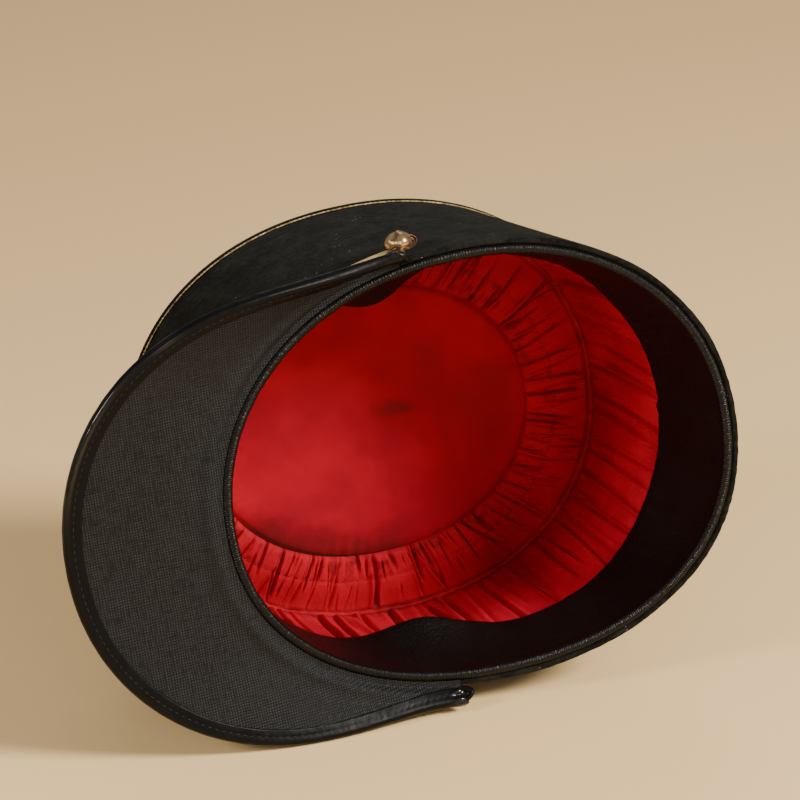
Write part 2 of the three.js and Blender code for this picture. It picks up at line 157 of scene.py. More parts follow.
@dataclass(frozen=True)
class CapFrame:
    """Where the cap's own axes lie in the row frame, in metres."""

    origin: Array
    left: Array
    back: Array
    up: Array

    @classmethod
    def from_crown_top(cls, plate: Piece, middle_height: float, forward: float) -> "CapFrame":
        """Reads the axes off the flat top, which is long from brow to nape and thin up the crown.

        Args:
            plate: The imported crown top.
            middle_height: Height of the plate's middle over the mouth, in millimetres.
            forward: How far the plate's middle lies in front of the mouth's middle, in millimetres.

        Returns:
            The cap's frame.
        """
        corners = np.unique(np.round([vertex.co for vertex in plate.data.vertices], 6), axis=0)
        middle = corners.mean(0)
        _, directions = np.linalg.eigh(np.cov((corners - middle).T))
        up = directions[:, 0] * np.sign(directions[1, 0])
        back = directions[:, 2] * np.sign(directions[0, 2])
        origin = middle - up * middle_height * MM + back * forward * MM
        return cls(origin, np.cross(back, up), back, up)

    def turn(self, vectors: Array) -> Array:
        """Turns directions from the cap's axes to the row's."""
        return np.asarray(vectors, float) @ np.stack([self.left, self.back, self.up])

    def place(self, points: Array) -> Array:
        """Takes points in the cap's millimetres to the row frame in metres."""
        return self.origin + MM * self.turn(points)


@dataclass(frozen=True)
class CapShape:
    """The surfaces that the pieces follow, in millimetres."""

    rim_half_width: float = 87.1
    rim_half_length: float = 104.0
    rim_egg: float = 0.042
    rim_arch: float = 12.5
    rim_drop: float = 1.35
    roundness: float = 2.15
    crown_height: float = 110.2
    top_half_width: float = 86.8
    top_half_length: float = 100.0
    top_egg: float = 0.004
    top_forward: float = 12.4
    top_thickness: float = 2.5
    felt: float = 2.5
    piping_radius: float = 0.75
    gap: float = 0.3

    @property
    def top_middle(self) -> float:
        """Height of the flat top's middle."""
        return self.crown_height + self.piping_radius + self.gap + self.top_thickness / 2

    def shares(self, t: Array) -> tuple[Array, Array]:
        """The oval's outline at angle t, across the head and along it, each from -1 to 1."""
        power = 2 / self.roundness
        across = np.sign(np.cos(t)) * np.abs(np.cos(t)) ** power
        along = np.sign(np.sin(t)) * np.abs(np.sin(t)) ** power
        return across, along

    def oval(self, t: Array, half_width: float, half_length: float, egg: float, forward: float) -> Array:
        """Points of an oval in the plane across the crown."""
        across, along = self.shares(t)
        return np.stack([half_width * across * (1 + egg * along), half_length * along - forward], -1)

    def rim(self, t: Array) -> Array:
        """Outline of the mouth."""
        return self.oval(t, self.rim_half_width, self.rim_half_length, self.rim_egg, 0)

    def top(self, t: Array) -> Array:
        """Outline of the flat top."""
        return self.oval(t, self.top_half_width, self.top_half_length, self.top_egg, self.top_forward)

    def rim_height(self, t: Array) -> Array:
        """Height of the rim, which arches over each ear."""
        across, along = self.shares(t)
        return self.rim_arch * across**2 - self.rim_drop * along**3

    def outward(self, t: Array) -> Array:
        """Level direction away from the head, square to the rim."""
        sliver = math.radians(0.05)
        run = self.rim(t + sliver) - self.rim(t - sliver)
        return unit(np.stack([run[..., 1], -run[..., 0], np.zeros_like(run[..., 0])], -1))

    def wall(self, t: Array, z: Array, inset: Array | float) -> Array:
        """Points at height z and a distance inside the wall's outer face."""
        share = ((z - self.rim_height(t)) / (self.crown_height - self.rim_height(t)))[..., None]
        level = self.rim(t) * (1 - share) + self.top(t) * share
        points = np.concatenate([level, np.broadcast_to(z, t.shape)[..., None]], -1)
        return points - self.outward(t) * np.broadcast_to(inset, t.shape)[..., None]

    @staticmethod
    def around(t: Array, front: float, side: float, back: float) -> Array:
        """A size with its own value at the brow, the sides and the nape."""
        lengthwise = np.sin(t) ** 2
        return side * (1 - lengthwise) + np.where(np.sin(t) < 0, front, back) * lengthwise

    @staticmethod
    def from_brow(t: Array) -> Array:
        """Angle from the brow, from minus half a turn to half a turn."""
        turn = t - BROW
        return turn - TURN * np.round(turn / TURN)


class Shade:
    """A shader socket whose sums are written as Python expressions."""

    def __init__(self, kit: "NodeKit", socket: Socket) -> None:
        self.kit = kit
        self.socket = socket

    def _math(self, operation: str, *values: "Shade | float") -> "Shade":
        """Adds one Math node."""
        return self.kit.node("ShaderNodeMath", {"operation": operation}, dict(enumerate(values)))

    def __add__(self, other: "Shade | float") -> "Shade":
        """Sum."""
        return self._math("ADD", self, other)

    def __radd__(self, other: float) -> "Shade":
        """Sum with a number in front."""
        return self._math("ADD", other, self)

    def __sub__(self, other: "Shade | float") -> "Shade":
        """Difference."""
        return self._math("SUBTRACT", self, other)

    def __rsub__(self, other: float) -> "Shade":
        """Difference from a number."""
        return self._math("SUBTRACT", other, self)

    def __mul__(self, other: "Shade | float") -> "Shade":
        """Product."""
        return self._math("MULTIPLY", self, other)

    def __rmul__(self, other: float) -> "Shade":
        """Product with a number in front."""
        return self._math("MULTIPLY", other, self)

    def __pow__(self, other: float) -> "Shade":
        """Power."""
        return self._math("POWER", self, other)

    def sine(self) -> "Shade":
        """Sine of an angle in radians."""
        return self._math("SINE", self)

    def size(self) -> "Shade":
        """Value without its sign."""
        return self._math("ABSOLUTE", self)

    def step(self, low: float, high: float) -> "Shade":
        """Rises softly from 0 at low to 1 at high, or falls where high is the lower one."""
        settings = {"interpolation_type": "SMOOTHSTEP"}
        ends = (low, high, 0.0, 1.0) if low < high else (high, low, 1.0, 0.0)
        return self.kit.node("ShaderNodeMapRange", settings, dict(enumerate((self, *ends))))


class NodeKit:
    """Adds nodes to one material around its Principled shader."""

    def __init__(self, material: bpy.types.Material) -> None:
        """Takes the material's tree and its shader."""
        self.tree = material.node_tree
        self.shader = self.tree.nodes["Principled BSDF"]

    def node(self, kind: str, settings: dict[str, Any], values: dict[int | str, Any], out: int = 0) -> Shade:
        """Adds a node.

        Args:
            kind: The node's type.
            settings: Its own settings, set before its sockets.
            values: A number, colour, vector or Shade for each socket that isn't left as it is.
            out: Which output is wanted.

        Returns:
            That output.
        """
        node = self.tree.nodes.new(kind)
        for name, value in settings.items():
            setattr(node, name, value)
        for key, value in values.items():
            self.feed(node.inputs[key], value)
        return Shade(self, node.outputs[out])

    def feed(self, socket: Socket, value: Any) -> None:
        """Links a Shade to a socket, or sets the socket to a value."""
        if isinstance(value, Shade):
            self.tree.links.new(value.socket, socket)
            return
        if socket.type == "RGBA" and len(value) == 3:
            value = (*value, 1.0)
        socket.default_value = value

    def place(self) -> Shade:
        """Object coordinates, in metres."""
        return self.node("ShaderNodeTexCoord", {}, {}, out=3)

    def uv(self, across: float = 1.0, along: float = 1.0) -> Shade:
        """The piece's own map, which is in millimetres, stretched by two factors."""
        flat = self.node("ShaderNodeUVMap", {"uv_map": "UVMap"}, {})
        return self.node("ShaderNodeMapping", {}, {0: flat, 3: (across, along, 1.0)})

    def part(self, vector: Shade, axis: int) -> Shade:
        """One component of a vector."""
        return self.node("ShaderNodeSeparateXYZ", {}, {0: vector}, out=axis)

    def attribute(self, name: str) -> Shade:
        """A number stored on the piece's points."""
        return self.node("ShaderNodeAttribute", {"attribute_name": name}, {}, out=2)

    def noise(self, vector: Shade, scale: float, detail: float = 3.0, roughness: float = 0.55) -> Shade:
        """Cloudy noise from 0 to 1."""
        return self.node("ShaderNodeTexNoise", {}, {0: vector, 2: scale, 3: detail, 4: roughness})

    def cells(self, vector: Shade, scale: float, out: int = 0) -> Shade:
        """Distance to the nearest cell's middle, or its random colour with out=1."""
        return self.node("ShaderNodeTexVoronoi", {}, {0: vector, 2: scale}, out=out)

    def wave(self, along: Shade, pace: float, sway: Shade | float = 0.0) -> Shade:
        """Even ridges from 0 to 1 along a number, with a sway added to their angle."""
        return (along * pace + sway).sine() * 0.5 + 0.5

    def distance(self, flat: Shade, middle: tuple[float, float], reach: tuple[float, float]) -> Shade:
        """Distance from a middle on the piece's map, in shares of a reach each way."""
        values = {0: flat, 1: (*middle, 0.0), 3: (*reach, 1.0)}
        spot = self.node("ShaderNodeMapping", {"vector_type": "TEXTURE"}, values)
        return self.node("ShaderNodeVectorMath", {"operation": "LENGTH"}, {0: spot}, out=1)

    def blend(self, share: Shade, low: Colour | Shade, high: Colour | Shade) -> Shade:
        """Colour between two, by a share from 0 to 1."""
        return self.node("ShaderNodeMix", {"data_type": "RGBA"}, {0: share, 6: low, 7: high}, out=2)

    def bump(self, height: Shade, depth: float, strength: float = 1.0) -> None:
        """Feeds the shader's normal.

        Args:
            height: Height from 0 to 1.
            depth: Depth of the full height, in millimetres.
            strength: Share of the effect.
        """
        values = {"Strength": strength, "Distance": depth * MM, "Height": height}
        self.feed(self.shader.inputs["Normal"], self.node("ShaderNodeBump", {}, values))

    def set(self, **values: Any) -> None:
        """Feeds the shader's sockets, each named with underscores for spaces."""
        for name, value in values.items():
            self.feed(self.shader.inputs[name.replace("_", " ")], value)


@dataclass(frozen=True)
class Finish:
    """A surface finish, which makes its material once."""

    slot: str
    name: str
    made: ClassVar[dict[str, bpy.types.Material]] = {}

    def dress(self, piece: Piece) -> None:
        """Gives the piece this finish alone."""
        if self.name not in self.made:
            material = bpy.data.materials.new(self.name)
            material.use_nodes = True
            self.made[self.name] = material
            self.paint(NodeKit(material))
        piece.data.materials.clear()
        piece.data.materials.append(self.made[self.name])

    def paint(self, kit: NodeKit) -> None:
        """Builds the shader."""
        raise NotImplementedError


@dataclass(frozen=True)
class Felt(Finish):
    """Black wool felt: matted short fibres, a soft nap and a little lint."""

    slot: str = "felt"
    name: str = "black_felt"
    dark: Colour = (0.0045, 0.0045, 0.0042)
    light: Colour = (0.017, 0.0172, 0.0155)
    lint: Colour = (0.3, 0.29, 0.26)

    def paint(self, kit: NodeKit) -> None:
        """Clouded black with matted fibres and sparse pale specks."""
        place = kit.place()
        clouds = kit.noise(place, 90, 4)
        fibres = kit.noise(place, 1500, 5, 0.7)
        mat = kit.noise(place, 420, 3)
        colour = kit.blend((clouds * 0.35 + fibres * 0.3 + mat * 0.35).step(0.4, 0.62), self.dark, self.light)
        specks = kit.cells(place, 330).step(0.11, 0.06) * kit.noise(place, 45, 1).step(0.56, 0.6)
        kit.set(
            Base_Color=kit.blend(specks, colour, self.lint),
            Roughness=0.97,
            Specular_IOR_Level=0.05,
            Sheen_Weight=0.035,
            Sheen_Roughness=0.5,
            Sheen_Tint=(0.6, 0.62, 0.55, 1.0),
        )
        kit.bump(fibres * 0.55 + mat * 0.45, 1.1, 1.0)


@dataclass(frozen=True)
class Gilt(Finish):
    """Old gilt thread, with darker hollows between the strands."""

    slot: str = "gold_cord"
    name: str = "gilt_cord"
    bright: Colour = (0.86, 0.62, 0.25)
    worn: Colour = (0.46, 0.3, 0.1)
    lengthwise: bool = False

    def paint(self, kit: NodeKit) -> None:
        """Fine wound thread with worn places."""
        place = kit.place()
        worn_away = kit.noise(place, 28, 2).step(0.36, 0.56) * 0.7 + 0.3
        wear = kit.noise(place, 260, 3).step(0.34, 0.6) * worn_away
        if self.lengthwise:
            thread = kit.wave(kit.part(kit.uv(), 1), TURN * 1.5)
            wear = wear * 0.45 + thread * 0.55
        else:
            thread = kit.wave(kit.part(kit.uv(), 0), TURN / 0.45, kit.part(kit.uv(), 1) * 3.0)
        kit.set(
            Base_Color=kit.blend(wear, self.worn, self.bright),
            Metallic=0.7,
            Roughness=wear * -0.12 + 0.42,
        )
        kit.bump(thread, 0.07, 0.8)


@dataclass(frozen=True)
class PeakLeather(Finish):
    """Smooth black leather on the upper face of the peak."""

    slot: str = "peak_leather"
    name: str = "peak_leather"

    def paint(self, kit: NodeKit) -> None:
        """Dull shine with fine creases."""
        place = kit.place()
        smudge = kit.noise(place, 45, 4)
        grain = kit.cells(place, 1400)
        kit.set(
            Base_Color=(0.006, 0.006, 0.0062),
            Roughness=smudge * 0.25 + 0.18,
            Coat_Weight=0.3,
            Coat_Roughness=0.15,
        )
        kit.bump(grain * 0.5 + smudge * 0.5, 0.12, 0.5)


@dataclass(frozen=True)
class LinenLeather(Finish):
    """Charcoal leather embossed with a fine linen grid."""

    slot: str = "grained_leather"
    name: str = "linen_leather"
    pitch: float = 1.05
    dark: Colour = (0.0022, 0.0025, 0.003)
    light: Colour = (0.0265, 0.0285, 0.0315)

    def paint(self, kit: NodeKit) -> None:
        """Two sets of wavering grooves, painted darker between the threads as painted shade, some threads
        thicker than others.
        """
        flat = kit.uv()
        place = kit.place()
        sway = kit.noise(flat, 0.12, 2) * 5.0
        slub = kit.noise(kit.uv(0.25, 2.2), 0.6, 2)
        slub_across = kit.noise(kit.uv(2.2, 0.25), 0.6, 2)
        pace = TURN / self.pitch
        warp = kit.wave(kit.part(flat, 0), pace, sway) * slub.step(0.25, 0.6)
        weft = kit.wave(kit.part(flat, 1), pace, sway) * slub_across.step(0.25, 0.6)
        threads = (warp * weft) ** 0.5
        cloud = kit.noise(place, 26, 3)
        # The grooves between the threads are painted darker, as painted shade, under a random clouding.
        kit.set(
            Base_Color=kit.blend(threads * 0.75 + cloud * 0.25, self.dark, self.light),
            Roughness=cloud * 0.2 + 0.34,
            Specular_IOR_Level=0.12,
        )
        kit.bump(threads, 0.22, 1.0)


@dataclass(frozen=True)
class Patent(Finish):
    """Glossy black patent leather, a little crumpled."""

    slot: str = "patent_leather"
    name: str = "patent_leather"

    def paint(self, kit: NodeKit) -> None:
        """Gloss where it is bent or polished, dull and rubbed elsewhere, with shallow wrinkles."""
        place = kit.place()
        rub = kit.noise(place, 150, 4).step(0.42, 0.72)
        wrinkle = kit.noise(place, 230, 2)
        kit.set(
            Base_Color=(0.0032, 0.0034, 0.0038),
            Roughness=rub * 0.14 + 0.38,
            Specular_IOR_Level=0.09,
            Coat_Weight=kit.attribute("shine") * 0.8,
            Coat_Roughness=0.12,
        )
        kit.bump(wrinkle, 0.4, 0.5)


@dataclass(frozen=True)
class SweatLeather(Finish):
    """Thin black brown leather with a pebbled grain, polished by wear."""

    slot: str = "sweat_leather"
    name: str = "sweat_leather"
    shine: float = 0.36
    grain: float = 0.3
    crimp: float = 0.0
    gloss: float = 0.16

    def paint(self, kit: NodeKit) -> None:
        """Pebbles between fine creases, and crimped ridges where the leather is drawn over a cord."""
        place = kit.place()
        pebbles = kit.cells(place, 1000)
        fine = kit.noise(place, 2400, 2)
        cloud = kit.noise(place, 60, 3)
        kit.set(
            Base_Color=kit.blend(cloud, (0.0022, 0.0019, 0.0018), (0.005, 0.0042, 0.0038)),
            Roughness=cloud * 0.2 + pebbles * 0.15 + (self.shine - 0.14),
            Specular_IOR_Level=self.gloss,
        )
        height = pebbles * -0.7 + fine * 0.3
        if self.crimp:
            sway = kit.noise(kit.uv(), 0.5, 2) * 9.0
            ridges = kit.wave(kit.part(kit.uv(), 0), TURN / self.crimp, sway)
            height = height * 0.15 + ridges * 0.85
        kit.bump(height, self.grain, 0.8)


class RedPart(Enum):
    """Which piece of the lining the cotton makes."""

    DISC = "disc"
    GATHER = "gather"
    SIDE = "side"
    SEAM = "seam"


# Smudges on the lining's disc, the last a broad darkening over its middle and right that is partly painted
# shade: middle and reach in the cap's millimetres, and how dark each is
DISC_SMUDGES_AND_SHADE: tuple[tuple[tuple[float, float], tuple[float, float], float], ...] = (
    ((3.4, -5.0), (4.5, 12.0), 0.36),
    ((2.0, 2.0), (3.0, 5.0), 0.26),
    ((-4.0, 36.0), (26.0, 18.0), 0.2),
    ((14.0, 4.0), (22.0, 30.0), 0.14),
)
DISC_MIDDLE = (0.0, -15.5)
DISC_HALVES = (55.0, 67.3)


@dataclass(frozen=True)
class RedCotton(Finish):
    """Red polished cotton, with stains of age and dust in its folds, and painted shade in them."""

    slot: str = "red_cotton"
    name: str = "red_cotton"
    part: RedPart = RedPart.DISC
    clean: Colour = (0.45, 0.0062, 0.023)
    deep: Colour = (0.33, 0.006, 0.02)
    # Colour of soil and of painted shade alike
    soil_and_shade_colour: Colour = (0.07, 0.008, 0.008)
    satin: float = 0.06

    def soil_and_shade(self, kit: NodeKit) -> Shade:
        """How dark each place is painted, from 0 to 1: soil and dust, and painted shade in the creases and
        along the edges.
        """
        place = kit.place()
        cloud = kit.noise(place, 70, 4)
        if self.part is RedPart.DISC:
            flat = kit.uv()
            soil = kit.noise(place, 160, 3) * 0.1
            for middle, reach, weight in DISC_SMUDGES_AND_SHADE:
                soil = soil + (kit.distance(flat, middle, reach) + cloud * 0.8).step(1.5, 0.55) * weight
            share = kit.distance(flat, DISC_MIDDLE, DISC_HALVES)
            strip = (share + cloud * 0.3).step(0.86, 1.12) * kit.part(flat, 0).step(-20.0, -38.0)
            strip = strip * kit.part(flat, 1).step(2.0, -14.0)
            # A thin painted shadow line runs round the disc's edge, under the gathers.
            return soil + strip * 0.66 + share.step(0.985, 0.998) * 0.3
        if self.part is RedPart.SEAM:
            return cloud.step(0.42, 0.7) * 0.35 + 0.16
        # Painted shade in the creases and along the edges, with cloudy soil in the deeper ones, and dust where
        # marked.
        hollow = kit.attribute("hollow")
        dust = kit.noise(place, 110, 4).step(0.53, 0.68) * kit.attribute("dusty")
        return hollow * 0.5 + hollow * cloud.step(0.5, 0.68) * 0.4 + dust * 0.55

    def paint(self, kit: NodeKit) -> None:
        """Fine threads, soft shine, soil and painted shade."""
        place = kit.place()
        shade = kit.noise(place, 38, 3)
        pace = TURN / 0.42
        flat = kit.uv()
        threads = kit.wave(kit.part(flat, 0), pace) * 0.5 + kit.wave(kit.part(flat, 1), pace) * 0.5
        slub = kit.noise(kit.uv(0.15, 2.5), 1.6, 2)
        cloth = kit.blend(shade.step(0.3, 0.7), self.deep, self.clean)
        kit.set(
            Base_Color=kit.blend(self.soil_and_shade(kit), cloth, self.soil_and_shade_colour),
            Roughness=shade * 0.14 + 0.5,
            Specular_IOR_Level=self.satin,
            Sheen_Weight=0.015,
            Sheen_Roughness=0.4,
            Sheen_Tint=(1.0, 0.2, 0.25, 1.0),
        )
        crinkle = kit.noise(place, 330, 3)
        depth = 0.12 if self.part is RedPart.DISC else 0.4
        kit.bump(threads * 0.15 + slub * 0.15 + crinkle * 0.7, depth, 0.7)


@dataclass(frozen=True)
class Thread(Finish):
    """Sewing thread in one colour."""

    slot: str = "sweat_leather"
    name: str = "black_thread"
    colour: Colour = (0.02, 0.019, 0.018)

    def paint(self, kit: NodeKit) -> None:
        """Twisted fibres."""
        twist = kit.noise(kit.place(), 3000, 1)
        dark = tuple(0.6 * part for part in self.colour)
        kit.set(Base_Color=kit.blend(twist, dark, self.colour), Roughness=0.6, Specular_IOR_Level=0.35)
        kit.bump(twist, 0.1, 0.6)


@dataclass(frozen=True)
class OldBrass(Finish):
    """Worn brass, bright on top and brown in the hollows."""

    slot: str = "brass"
    name: str = "old_brass"
    bright: Colour = (0.62, 0.47, 0.26)
    brown: Colour = (0.22, 0.13, 0.055)

    def paint(self, kit: NodeKit) -> None:
        """Tarnish in patches."""
        place = kit.place()
        tarnish = kit.noise(place, 420, 4).step(0.38, 0.66)
        pits = kit.noise(place, 1500, 2)
        kit.set(
            Base_Color=kit.blend(tarnish, self.brown, self.bright),
            Metallic=0.85,
            Roughness=tarnish * -0.14 + 0.34,
        )
        kit.bump(tarnish * 0.4 + pits * 0.6, 0.15, 0.5)


@dataclass(frozen=True)
class Copper(Finish):
    """Thin copper wire."""

    slot: str = "brass"
    name: str = "copper_wire"

    def paint(self, kit: NodeKit) -> None:
        """Warm metal with dull places."""
        dull = kit.noise(kit.place(), 900, 2)
        colour = kit.blend(dull, (0.2, 0.065, 0.03), (0.5, 0.21, 0.1))
        kit.set(Base_Color=colour, Metallic=0.9, Roughness=0.35)


@contextmanager
def editing() -> Iterator[None]:
    """Edit mode on the active piece, with all of it selected."""
    bpy.ops.object.mode_set(mode="EDIT")
    bpy.ops.mesh.select_all(action="SELECT")
    yield
    bpy.ops.object.mode_set(mode="OBJECT")


@dataclass
class Blank:
    """A primitive before it is shaped, with the place of each point on it."""

    piece: Piece
    u: Array
    v: Array


class Bench:
    """Modelling steps on one piece at a time."""

    strand_share = 0.56
    strand_sides = 6

    def __init__(self, cap: CapFrame) -> None:
        """Keeps the frame that shapes are placed in."""
        self.cap = cap

    @staticmethod
    def clear_selection() -> None:
        """Deselects everything, so that an operator acts on the new piece alone."""
        bpy.ops.object.select_all(action="DESELECT")

    @staticmethod
    def take(piece: Piece) -> None:
        """Makes the piece the only one selected and active."""
        Bench.clear_selection()
        piece.select_set(True)
        bpy.context.view_layer.objects.active = piece

    @staticmethod
    def rows(items: Any, name: str) -> Array:
        """One vector of each point or face, a row each."""
        flat = np.zeros(3 * len(items))
        items.foreach_get(name, flat)
        return flat.reshape(-1, 3)

    def points(self, piece: Piece) -> Array:
        """Places of the piece's points."""
        return self.rows(piece.data.vertices, "co")

    def join(self, pieces: Sequence[Piece], name: str) -> Piece:
        """Joins pieces into the first of them, under a new name."""
        self.take(pieces[0])
        for piece in pieces[1:]:
            piece.select_set(True)
        if len(pieces) > 1:
            bpy.ops.object.join()
        pieces[0].name = name
        return pieces[0]

    @staticmethod
    def from_faces(name: str, points: Array, faces: Sequence[Sequence[int]]) -> Piece:
        """A piece made of points in the row frame and the faces between them."""
        mesh = bpy.data.meshes.new(name)
        mesh.from_pydata(points, [], faces)
        piece = bpy.data.objects.new(name, mesh)
        bpy.context.collection.objects.link(piece)
        return piece

    def ring(self, name: str, around: int, across: int) -> Blank:
        """A grid, to be laid round the head and closed both ways.

        Args:
            name: The piece's name.
            around: Steps round the head.
            across: Steps round its section.

        Returns:
            The blank, with u the angle round the head and v the share of the section.
        """
        blank = self.strip(name, around, across)
        return Blank(blank.piece, blank.u * TURN, blank.v)

    def strip(self, name: str, along: int, across: int) -> Blank:
        """A grid, to be laid along a path.

        Args:
            name: The piece's name.
            along: Steps along it.
            across: Steps across it.

        Returns:
            The blank, with u and v from 0 to 1.
        """
        self.clear_selection()
        bpy.ops.mesh.primitive_grid_add(x_subdivisions=along, y_subdivisions=across, size=1)
        piece = bpy.context.object
        piece.name = name
        x, y, _ = self.points(piece).T
        return Blank(piece, x + 0.5, y + 0.5)

    def disc(self, name: str, around: int, rings: int) -> Blank:
        """A filled circle with rings inset towards its middle.

        Args:
            name: The piece's name.
            around: Steps round it.
            rings: How many rings are inset.

        Returns:
            The blank, with u the angle and v the share of the radius.
        """
        self.clear_selection()
        bpy.ops.mesh.primitive_circle_add(vertices=around, radius=1, fill_type="NGON")
        piece = bpy.context.object
        piece.name = name
        with editing():
            for _ in range(rings):
                bpy.ops.mesh.inset(thickness=1 / (rings + 1), use_even_offset=False)
            bpy.ops.mesh.poke()
        x, y, _ = self.points(piece).T
        return Blank(piece, np.arctan2(y, x), np.hypot(x, y))

    def lay(self, blank: Blank, points: Array, flat: Array | None = None) -> None:
        """Moves each point of the blank to its place.

        Args:
            blank: The blank.
            points: Its places in the cap's millimetres.
            flat: Its map in millimetres, two numbers a point.
        """
        piece = blank.piece
        piece.data.vertices.foreach_set("co", self.cap.place(points).ravel())
        piece.data.update()
        if flat is None:
            return
        corner = np.zeros(len(piece.data.loops), int)
        piece.data.loops.foreach_get("vertex_index", corner)
        layer = piece.data.uv_layers.get("UVMap") or piece.data.uv_layers.new(name="UVMap")
        layer.data.foreach_set("uv", flat[corner].ravel())

    def store(self, piece: Piece, name: str, values: Array) -> None:
        """Stores a number on each point of the piece."""
        layer = piece.data.attributes.new(name, "FLOAT", "POINT")
        layer.data.foreach_set("value", np.asarray(values, np.float32))

    def weld(self, piece: Piece, cap_ends: bool = False) -> None:
        """Merges doubled points, closes open ends if asked, and turns the faces outwards."""
        self.take(piece)
        with editing():
            bpy.ops.mesh.remove_doubles(threshold=1e-6)
            if cap_ends:
                bpy.ops.mesh.select_all(action="DESELECT")
                bpy.ops.mesh.select_non_manifold()
                bpy.ops.mesh.fill_holes(sides=0)
                bpy.ops.mesh.select_all(action="SELECT")
            bpy.ops.mesh.normals_make_consistent(inside=False)

    def flip(self, piece: Piece) -> None:
        """Turns all of the piece's faces round."""
        self.take(piece)
        with editing():
            bpy.ops.mesh.flip_normals()

    def face(self, piece: Piece, towards: Array) -> None:
        """Turns an open sheet's faces to the side that a direction in the row frame names."""
        if (self.rows(piece.data.polygons, "normal") @ towards).sum() < 0:
            self.flip(piece)

    def face_inwards(self, piece: Piece, middle: Array) -> None:
        """Turns an open ring's faces towards its middle."""
        inwards = middle - self.rows(piece.data.polygons, "center")
        if (inwards * self.rows(piece.data.polygons, "normal")).sum() < 0:
            self.flip(piece)

    def modify(self, piece: Piece, kind: str, **settings: Any) -> None:
        """Adds a modifier and applies it."""
        self.take(piece)
        modifier = piece.modifiers.new(kind.title(), kind)
        for name, value in settings.items():
            setattr(modifier, name, value)
        bpy.ops.object.modifier_apply(modifier=modifier.name)

    def finish(
        self, piece: Piece, finish: Finish, *stands_for: str, sharp: float = 50.0
    ) -> Piece:
        """Smooths, dresses and reports a piece that rides on the cap.

        Args:
            piece: The finished shape.
            finish: Its finish.
            stands_for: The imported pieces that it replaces.
            sharp: Angle in degrees over which an edge stays sharp.

        Returns:
            The piece.
        """
        self.take(piece)
        bpy.ops.object.shade_smooth_by_angle(angle=math.radians(sharp))
        finish.dress(piece)
        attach(piece, "root")
        if stands_for:
            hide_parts(*stands_for)
        log.info("%s: %d faces", piece.name, len(piece.data.polygons))
        return piece

    def copies(self, name: str, master: Piece, places: Array, axes: Array) -> Piece:
        """Joins copies of a small shape into one piece.

        Args:
            name: The piece's name.
            master: The shape, in millimetres about its own middle, which is used up.
            places: Where each copy goes, in the cap's millimetres.
            axes: Each copy's three axes as rows, in the cap's directions.

        Returns:
            The piece.
        """
        shape = self.points(master)
        faces = [tuple(polygon.vertices) for polygon in master.data.polygons]
        bpy.data.objects.remove(master)
        points = places[:, None, :] + np.einsum("pk,nkc->npc", shape, axes)
        step = len(shape)
        all_faces = [tuple(i + step * n for i in face) for n in range(len(places)) for face in faces]
        return self.from_faces(name, self.cap.place(points.reshape(-1, 3)), all_faces)

    def stitch(self, length: float, radius: float) -> Piece:
        """One stitch: a ball drawn out along x, in millimetres."""
        self.clear_selection()
        bpy.ops.mesh.primitive_uv_sphere_add(segments=6, ring_count=6, radius=radius)
        stitch = bpy.context.object
        with editing():
            bpy.ops.transform.resize(value=(length / (2 * radius), 1, 1))
        return stitch

    def twisted(
        self,
        name: str,
        path: Callable[[Array], Course],
        turns: float,
        radius: float,
        strands: int,
        steps: int,
        closed: bool,
        length: float,
    ) -> Piece:
        """A cord of strands wound round a path.

        Args:
            name: The piece's name.
            path: Gives middle points and two directions across the cord for shares from 0 to 1.
            turns: How often the strands go round.
            radius: Radius of the cord.
            strands: How many strands it has.
            steps: Steps along it.
            closed: Whether the path is a ring.
            length: The path's length in millimetres.

        Returns:
            The piece.
        """
        thin = radius if strands == 1 else radius * self.strand_share
        made = []
        for strand in range(strands):
            label = f"{name}_{strand}"
            lay_out = self.ring if closed else self.strip
            blank = lay_out(label, steps, self.strand_sides)
            share = blank.u / TURN if closed else blank.u
            middle, side, rise = path(share)
            wind = TURN * (turns * share + strand / strands)
            angle = TURN * blank.v
            across = (radius - thin) * np.cos(wind) + thin * np.cos(angle)
            over = (radius - thin) * np.sin(wind) + thin * np.sin(angle)
            points = middle + side * across[:, None] + rise * over[:, None]
            flat = np.stack([share * length, blank.v * 4], -1)
            self.lay(blank, points, flat)
            self.weld(blank.piece, cap_ends=not closed)
            made.append(blank.piece)
        return self.join(made, name)


